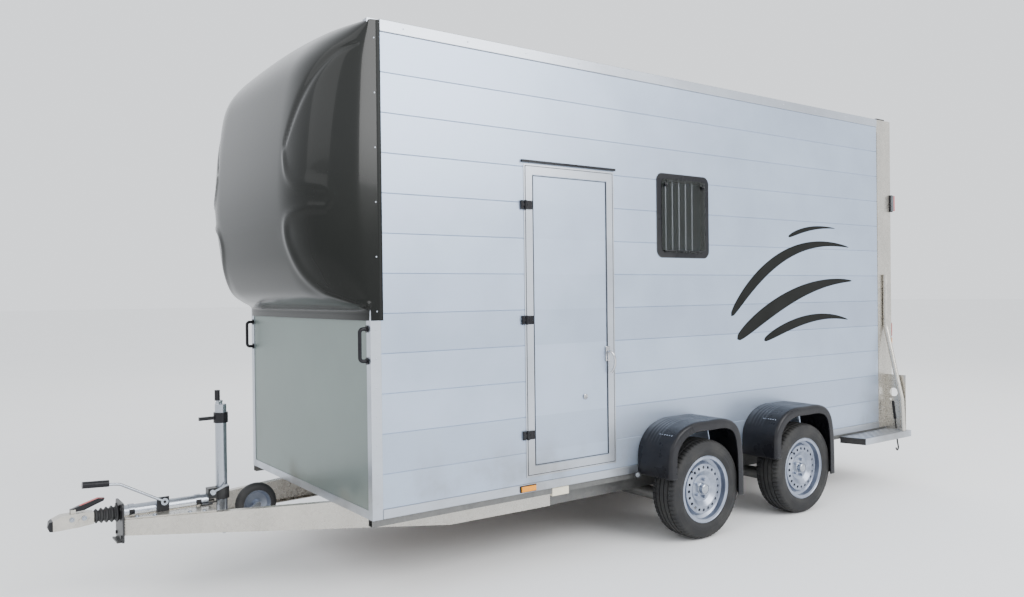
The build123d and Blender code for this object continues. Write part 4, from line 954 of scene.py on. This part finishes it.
class TRAILER_OT_rivets(bpy.types.Operator):
    """Rivets and screws along posts, rails, sill and door frame"""
    bl_idname = "trailer.rivets"
    bl_label = "Rivets"

    def execute(self, context):
        spots = []
        panel_low, panel_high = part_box("front_panel")
        rail_low, rail_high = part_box("side_rails")
        post_side, post_front = 0.029, 0.022

        def column(x, y, low, high, pitch, normal):
            count = max(1, round((high - low) / pitch))
            for index in range(count + 1):
                spots.append((Vector((x, y, low + (high - low) * index / count)), Vector(normal)))

        def row(z, y, low, high, pitch, normal):
            count = max(1, round((high - low) / pitch))
            for index in range(count + 1):
                spots.append((Vector((low + (high - low) * index / count, y, z)), Vector(normal)))

        for side in (-1, 1):
            out = (0, side, 0)
            column(FRONT_X + post_side, side * HALF_WIDTH, 0.50, 1.36, 0.145, out)
            column(FRONT_X, side * (HALF_WIDTH - post_front), 0.50, 1.36, 0.145, (-1, 0, 0))
            row(rail_low.z + 0.024, side * rail_high.y, FRONT_X + 0.15, REAR_LOW.x - 0.05, 0.30, out)
            row(rail_high.z - 0.030, side * rail_high.y, FRONT_X + 0.20, REAR_LOW.x - 0.05, 0.40, out)
            column(REAR_LOW.x + 0.022, side * (HALF_WIDTH + 3 * MM), 0.56, 2.78, 0.12, out)
            column(FRONT_X + 0.035, side * (HALF_WIDTH + 5 * MM), 1.45, 2.80, 0.27, out)
        for index in range(15):
            y = panel_low.y + 0.03 + (panel_high.y - panel_low.y - 0.06) * index / 14
            spots.append((Vector((panel_low.x, y, panel_low.z + 0.022)), Vector((-1, 0, 0))))
        frame_low, frame_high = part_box("door_frame")
        for x in (frame_low.x + 0.021, frame_high.x - 0.013):
            column(x, frame_low.y + 0.011, 0.56, 2.20, 0.20, (0, -1, 0))

        def build(shape):
            for place, normal in spots:
                add_turning(shape, dome_profile(4.2 * MM, 1.7 * MM), place, normal, 10)
        add_piece("rivets", mesh_from("rivets", build), ROOT, "trim_aluminium", angle=60)
        return {"FINISHED"}


# ---------------------------------------------------------------- bellows

class TRAILER_OT_bellows(bpy.types.Operator):
    """Rubber bellows with five folds"""
    bl_idname = "trailer.bellows"
    bl_label = "Bellows"

    def execute(self, context):
        low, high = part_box("bellows")
        centre = (low + high) / 2
        length = high.x - low.x
        folds = 5
        profile = []
        for step in range(folds * 12 + 1):
            t = step / (folds * 12)
            radius = 0.0300 + 0.0095 * t + 0.0052 * cos(2 * pi * (t * folds + 0.5))
            profile.append((t * length, radius))
        profile.append((length, 0.0265))
        profile.insert(0, (0.0, 0.0265))
        mesh = mesh_from("bellows", lambda shape: add_turning(shape, profile, (low.x, centre.y, centre.z),
                                                              (1, 0, 0), 40))
        piece = add_piece("rubber_bellows", mesh, None, "rubber", angle=70)
        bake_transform(piece)
        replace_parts(piece, "bellows")
        return {"FINISHED"}


# ---------------------------------------------------------------- lamps

class TRAILER_OT_lamps(bpy.types.Operator):
    """Side, clearance and tail lamps with their bases and lenses"""
    bl_idname = "trailer.lamps"
    bl_label = "Lamps"

    def execute(self, context):
        low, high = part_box("marker_lamps")
        rail_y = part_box("side_rails")[1].y
        bases = bmesh.new()
        ambers = bmesh.new()
        clears = bmesh.new()
        reds = bmesh.new()
        for side in (-1, 1):
            def span(near, far):
                return sorted((side * near, side * far))
            near, far = span(rail_y + 0.4 * MM, rail_y + 5 * MM)
            add_box(bases, (low.x, near, low.z), (low.x + 0.112, far, low.z + 0.038), 2 * MM)
            near, far = span(rail_y + 4 * MM, rail_y + 14 * MM)
            add_box(ambers, (low.x + 0.006, near, low.z + 0.004),
                    (low.x + 0.106, far, low.z + 0.034), 4 * MM)
            near, far = span(HALF_WIDTH + 0.4 * MM, HALF_WIDTH + 16 * MM)
            add_box(bases, (high.x - 0.034, near, high.z - 0.138), (high.x, far, high.z), 4 * MM)
            near, far = span(HALF_WIDTH + 14 * MM, HALF_WIDTH + 34 * MM)
            add_box(clears, (high.x - 0.032, near, high.z - 0.132),
                    (high.x - 0.017, far, high.z - 0.006), 5 * MM)
            add_box(reds, (high.x - 0.018, near, high.z - 0.132),
                    (high.x - 0.002, far, high.z - 0.006), 5 * MM)
        tail_low, tail_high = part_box("rear_lamps")
        for side in (-1, 1):
            near, far = sorted((side * tail_high.y, side * (tail_high.y - 0.060)))
            add_box(bases, (tail_low.x, near, tail_low.z), (tail_low.x + 0.012, far, tail_high.z), 3 * MM)
            third = (tail_high.z - tail_low.z) / 3
            for index, group in enumerate((reds, ambers, reds)):
                add_box(group, (tail_low.x + 0.010, near + 0.004, tail_low.z + index * third + 0.005),
                        (tail_high.x, far - 0.004, tail_low.z + (index + 1) * third - 0.005), 6 * MM)
        made = {}
        for name, shape, slot, finish in (
            ("lamp_bases", bases, "black_plastic", "black_plastic"),
            ("amber_lenses", ambers, "amber_lens", "amber_lens"),
            ("clear_lenses", clears, "amber_lens", "clear_lens"),
            ("red_lenses", reds, "red_lens", "red_lens"),
        ):
            bmesh.ops.recalc_face_normals(shape, faces=shape.faces)
            mesh = bpy.data.meshes.new(name)
            shape.to_mesh(mesh)
            shape.free()
            made[name] = add_piece(name, mesh, ROOT, slot, finish)
        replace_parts(made["amber_lenses"], "marker_lamps")
        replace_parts(made["red_lenses"], "rear_lamps")
        return {"FINISHED"}


# ---------------------------------------------------------------- side door

class TRAILER_OT_door(bpy.types.Operator):
    """Door seals, bow handle with its plate, and lock"""
    bl_idname = "trailer.door"
    bl_label = "Side door"

    def execute(self, context):
        frame_low, frame_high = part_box("door_frame")
        leaf_low, leaf_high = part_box("side_door")
        left, right = frame_low.x + 0.029, frame_high.x - 0.021
        face = -HALF_WIDTH - 4 * MM
        mesh = mesh_from("door_seal", lambda shape: add_border(
            shape, (left - 3.4 * MM, face - 0.6 * MM, leaf_low.z - 3.4 * MM),
            (right + 3.4 * MM, face + 6 * MM, leaf_high.z + 3.4 * MM), 3.6 * MM))
        add_piece("door_seal", mesh, ROOT, "rubber")
        border = 0.050
        mesh = mesh_from("panel_bead", lambda shape: add_border(
            shape, (left + border, face - 0.8 * MM, leaf_low.z + border),
            (right - border, face + 3 * MM, leaf_high.z - border), 3.0 * MM))
        add_piece("panel_bead", mesh, "side_door", "rubber")
        self.handle(face)
        self.lock(face)
        return {"FINISHED"}

    def handle(self, face):
        """Bow lever on an oval plate."""
        low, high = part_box("door_handle")
        x = (low.x + high.x) / 2
        points = curve_points([
            (x - 0.006, face - 0.006, 1.178), (x - 0.002, face - 0.026, 1.176),
            (x + 0.010, face - 0.038, 1.155), (x + 0.018, face - 0.040, 1.120),
            (x + 0.016, face - 0.034, 1.082), (x + 0.004, face - 0.022, 1.052),
        ], 30)
        mesh = mesh_from("bow_lever", lambda shape: add_tube(shape, points, 6.5 * MM, 16, 1.35))
        lever = add_piece("bow_lever", mesh, "door_handle", "chrome", angle=60)
        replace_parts(lever, "door_handle")

        def plate(shape):
            add_box(shape, (x - 0.024, face - 4 * MM, 1.118), (x + 0.010, face + 1 * MM, 1.208), 3 * MM)
            for z in (1.128, 1.198):
                add_turning(shape, dome_profile(3.4 * MM, 1.6 * MM), (x - 0.007, face - 4 * MM, z),
                            (0, -1, 0), 12)
        add_piece("handle_plate", mesh_from("handle_plate", plate), "side_door", "chrome", angle=40)

    def lock(self, face):
        """Lock barrel with its ring and key slot."""
        low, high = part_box("door_lock")
        middle = (low + high) / 2
        ring = [(-1 * MM, 0.0165), (2.5 * MM, 0.0160), (4.0 * MM, 0.0135), (3.2 * MM, 0.0100),
                (3.2 * MM, 0.0)]
        mesh = mesh_from("lock_ring", lambda shape: add_turning(
            shape, ring, (middle.x, face, middle.z), (0, -1, 0), 32))
        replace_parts(add_piece("lock_ring", mesh, "side_door", "chrome", angle=40), "door_lock")
        mesh = mesh_from("key_slot", lambda shape: add_box(
            shape, (middle.x - 1.4 * MM, face - 4.2 * MM, middle.z - 6 * MM),
            (middle.x + 1.4 * MM, face - 3 * MM, middle.z + 6 * MM), 0.4 * MM))
        add_piece("key_slot", mesh, "side_door", "black_plastic")


# ---------------------------------------------------------------- windows

class TRAILER_OT_windows(bpy.types.Operator):
    """Window seals and the two catches on each pane"""
    bl_idname = "trailer.windows"
    bl_label = "Windows"

    def execute(self, context):
        low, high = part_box("window_frames")
        catch = [(-2 * MM, 0.013), (2 * MM, 0.0135), (5 * MM, 0.0125), (6 * MM, 0.008), (9 * MM, 0.0075),
                 (10.5 * MM, 0.005)]
        for name, side in (("left", -1), ("right", 1)):
            pane_low, pane_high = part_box(f"window_pane_{name}")
            wall = side * (HALF_WIDTH + 1.5 * MM)
            loop = rounded_loop(low.x - 1 * MM, high.x + 1 * MM, low.z - 1 * MM, high.z + 1 * MM,
                                wall, 0.046)
            mesh = mesh_from("window_seal", lambda shape: add_tube(shape, loop, 3.5 * MM, 10, 1.0, True))
            add_piece(f"window_seal_{name}", mesh, ROOT, "rubber", angle=60)
            outer = pane_low.y if side < 0 else pane_high.y

            def catches(shape):
                for x in (pane_low.x + 0.030, pane_high.x - 0.030):
                    add_turning(shape, catch, (x, outer, pane_high.z - 0.040), (0, side, 0), 24)
                near, far = sorted((outer, outer + side * 2 * MM))
                add_box(shape, (pane_low.x + 0.02, near, pane_low.z + 0.006),
                        (pane_high.x - 0.02, far, pane_low.z + 0.014), 0.8 * MM)
            add_piece(f"window_catches_{name}", mesh_from("catches", catches), f"window_pane_{name}",
                      "black_plastic", angle=40)
        return {"FINISHED"}


# ---------------------------------------------------------------- wheel trims

class TRAILER_OT_wheel_trims(bpy.types.Operator):
    """Hub cap and valve on each wheel"""
    bl_idname = "trailer.wheel_trims"
    bl_label = "Wheel trims"

    def execute(self, context):
        for name, side in (("left", -1), ("right", 1)):
            for axle in ("front", "rear"):
                node = f"wheel_{name}_{axle}"
                low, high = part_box(node)
                centre = (low + high) / 2
                points = [vert.co for vert in frame["nodes"][node].data.vertices]
                near = [abs(p.y) for p in points if math.hypot(p.x - centre.x, p.z - centre.z) < 0.032]
                face = max(near)
                cap = [(-4 * MM, 0.0315), (3 * MM, 0.0315), (6 * MM, 0.0295), (9 * MM, 0.020),
                       (10 * MM, 0.006)]
                mesh = mesh_from("hub_cap", lambda shape: add_turning(
                    shape, cap, (centre.x, side * (face - 1 * MM), centre.z), (0, side, 0), 36))
                add_piece(f"hub_cap_{name}_{axle}", mesh, node, "zinc", angle=40)
                stem = [(-10 * MM, 0.0042), (6 * MM, 0.0042), (7 * MM, 0.0050), (20 * MM, 0.0046),
                        (21 * MM, 0.0034)]
                spot = (centre.x + 0.158 * cos(2.3), side * (abs(centre.y) + 0.050),
                        centre.z + 0.158 * sin(2.3))
                mesh = mesh_from("valve", lambda shape: add_turning(shape, stem, spot, (0, side, 0), 14))
                add_piece(f"valve_{name}_{axle}", mesh, node, "rubber", angle=40)
        return {"FINISHED"}


# ---------------------------------------------------------------- small fittings

class TRAILER_OT_fittings(bpy.types.Operator):
    """Treads, bolts, guard vents, post caps and the small boxes under the rail"""
    bl_idname = "trailer.fittings"
    bl_label = "Small fittings"

    def execute(self, context):
        self.treads()
        self.bolts()
        self.vents()
        self.caps()
        return {"FINISHED"}

    def treads(self):
        """Raised bars of tread plate on both rear platforms."""
        low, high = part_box("side_platforms")
        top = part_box("guard_tubes")[0].z - 0.3 * MM

        def build(shape):
            for side in (-1, 1):
                for column in range(16):
                    for line in range(5):
                        x = low.x + 0.085 + column * 0.036
                        y = side * (HALF_WIDTH + 0.030 + line * 0.032)
                        turn = 45 if (column + line) % 2 else -45
                        made = bmesh.ops.create_cube(shape, size=1.0)
                        spin = Matrix.Rotation(radians(turn), 4, "Z")
                        for vert in made["verts"]:
                            taper = 0.55 if vert.co.z > 0 else 1.0
                            flat = Vector((vert.co.x * 0.024 * taper, vert.co.y * 0.006 * taper, 0))
                            vert.co = spin @ flat + Vector((x, y, top + vert.co.z * 2.4 * MM))
        add_piece("tread_bars", mesh_from("tread_bars", build), ROOT, "trim_aluminium", angle=30)

    def bolts(self):
        """Hexagon heads on the coupling, the overrun housing and the head plate."""
        head_low, head_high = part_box("coupling_head")
        housing_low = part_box("overrun_housing")[0]
        hexagon = [(-1 * MM, 0.0085), (5.5 * MM, 0.0085), (6.5 * MM, 0.0070)]
        washer = [(-1 * MM, 0.0125), (1.5 * MM, 0.0120)]

        def coupling(shape):
            for side in (-1, 1):
                for back in (0.105, 0.160):
                    place = (head_low.x + back, side * (head_high.y - 4 * MM), head_low.z + 0.045)
                    add_turning(shape, washer, place, (0, side, 0), 20)
                    add_turning(shape, hexagon, place, (0, side, 0), 6)
        add_piece("coupling_bolts", mesh_from("bolts", coupling), "coupling", "zinc", angle=30)
        plate = 0.424

        def housing(shape):
            for side in (-1, 1):
                for back in (0.060, 0.140, 0.300):
                    place = (housing_low.x + back, side * (0.055 + 0.30 * back), plate)
                    add_turning(shape, washer, place, (0, 0, 1), 20)
                    add_turning(shape, hexagon, place, (0, 0, 1), 6)
        add_piece("housing_bolts", mesh_from("bolts", housing), ROOT, "zinc", angle=30)

    def vents(self):
        """Row of small vents near the front of each mudguard."""
        outer = -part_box("fenders")[0].y
        for name, side in (("left", -1), ("right", 1)):
            for axle in ("front", "rear"):
                low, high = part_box(f"wheel_{name}_{axle}")
                x = (low.x + high.x) / 2 - 0.278

                def build(shape):
                    for number in range(6):
                        y = side * (outer - 0.050 - number * 0.019)
                        add_turning(shape, dome_profile(4.0 * MM, 1.2 * MM), (x, y, 0.665),
                                    (-0.62, 0, 0.78), 12)
                add_piece(f"guard_vents_{name}_{axle}", mesh_from("vents", build), ROOT, "zinc", angle=60)

    def caps(self):
        """Post caps, and the cream box and clear side lamp under the rail."""
        low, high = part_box("rear_portal")
        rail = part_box("side_rails")[0].z

        def posts(shape):
            for side in (-1, 1):
                near, far = sorted((side * (HALF_WIDTH - 0.070), side * (HALF_WIDTH + 2 * MM)))
                add_box(shape, (low.x + 0.004, near, high.z - 1 * MM),
                        (high.x - 0.095, far, high.z + 9 * MM), 3 * MM)
        add_piece("post_caps", mesh_from("post_caps", posts), ROOT, "black_plastic", angle=40)

        def junction(shape):
            for side in (-1, 1):
                near, far = sorted((side * (HALF_WIDTH - 0.030), side * (HALF_WIDTH - 0.004)))
                add_box(shape, (FRONT_X + 1.135, near, rail - 0.050),
                        (FRONT_X + 1.257, far, rail - 0.003), 5 * MM)
        mesh = mesh_from("junction", junction)
        add_piece("junction_boxes", mesh, ROOT, "trim_aluminium", "cream_plastic", 40)

        lens_profile = [(-2 * MM, 0.0150), (3 * MM, 0.0150), (7 * MM, 0.0125), (10 * MM, 0.0080),
                        (11 * MM, 0.002)]
        shell_profile = [(-16 * MM, 0.010), (-12 * MM, 0.019), (-2 * MM, 0.0215), (4 * MM, 0.0215),
                         (5 * MM, 0.0165)]

        def lamps(shape):
            for side in (-1, 1):
                add_turning(shape, lens_profile, (FRONT_X + 1.760, side * (HALF_WIDTH + 0.045), 0.415),
                            (-0.5, 0.86 * side, 0), 28)
        add_piece("side_lamps", mesh_from("side_lamps", lamps), ROOT, "amber_lens", "clear_lens", 60)

        def stalks(shape):
            for side in (-1, 1):
                points = curve_points([(FRONT_X + 1.80, side * (HALF_WIDTH - 0.045), rail - 0.02),
                                       (FRONT_X + 1.79, side * (HALF_WIDTH + 0.005), 0.40),
                                       (FRONT_X + 1.765, side * (HALF_WIDTH + 0.036), 0.414)], 12)
                add_tube(shape, points, 8 * MM, 12)
                add_turning(shape, shell_profile, (FRONT_X + 1.760, side * (HALF_WIDTH + 0.045), 0.415),
                            (-0.5, 0.86 * side, 0), 28)
        add_piece("lamp_stalks", mesh_from("lamp_stalks", stalks), ROOT, "black_plastic", angle=60)

        plate_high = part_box("side_platforms")[1]
        rod = [(0.0, 0.004), (0.075, 0.004), (0.076, 0.0095), (0.215, 0.0095), (0.220, 0.006)]

        def struts(shape):
            for side in (-1, 1):
                place = (plate_high.x - 0.046, side * (HALF_WIDTH + 0.085), 0.410)
                add_turning(shape, rod, place, (0, -0.12 * side, 0.99), 18)
        add_piece("plate_struts", mesh_from("plate_struts", struts), ROOT, "black_plastic", angle=40)

        def hooks(shape):
            for side in (-1, 1):
                y = side * (HALF_WIDTH + 0.140)
                points = curve_points([(plate_high.x - 0.13, y, 0.366), (plate_high.x - 0.125, y, 0.318),
                                       (plate_high.x - 0.112, y, 0.272), (plate_high.x - 0.128, y, 0.252),
                                       (plate_high.x - 0.146, y, 0.270)], 20)
                add_tube(shape, points, 6 * MM, 12)
        add_piece("rubber_hooks", mesh_from("rubber_hooks", hooks), ROOT, "rubber", angle=60)


# ---------------------------------------------------------------- panel and registration

STEPS = (TRAILER_OT_stage, TRAILER_OT_finishes, TRAILER_OT_nose, TRAILER_OT_mudguards, TRAILER_OT_tyres,
         TRAILER_OT_graphic, TRAILER_OT_rivets, TRAILER_OT_bellows, TRAILER_OT_lamps, TRAILER_OT_door,
         TRAILER_OT_windows, TRAILER_OT_wheel_trims, TRAILER_OT_fittings)


class TRAILER_PT_panel(bpy.types.Panel):
    """Sidebar panel with the trailer's sizes and steps"""
    bl_idname = "TRAILER_PT_panel"
    bl_label = "Horse trailer"
    bl_space_type = "VIEW_3D"
    bl_region_type = "UI"
    bl_category = "Trailer"

    def draw(self, context):
        for name, group in SETTINGS.items():
            box = self.layout.box()
            box.label(text=group.__doc__)
            settings = getattr(context.scene, name)
            for key in group.__annotations__:
                box.prop(settings, key)
        for step in STEPS:
            self.layout.operator(step.bl_idname)


def register():
    for name, group in SETTINGS.items():
        bpy.utils.register_class(group)
        setattr(bpy.types.Scene, name, PointerProperty(type=group))
    for step in (*STEPS, TRAILER_PT_panel):
        bpy.utils.register_class(step)


def unregister():
    for step in reversed((*STEPS, TRAILER_PT_panel)):
        bpy.utils.unregister_class(step)
    for name, group in SETTINGS.items():
        delattr(bpy.types.Scene, name)
        bpy.utils.unregister_class(group)


def main():
    """Register the add-on and build every piece in order."""
    register()
    for step in STEPS:
        group, name = step.bl_idname.split(".")
        getattr(getattr(bpy.ops, group), name)()


if __name__ == "__main__":
    main()
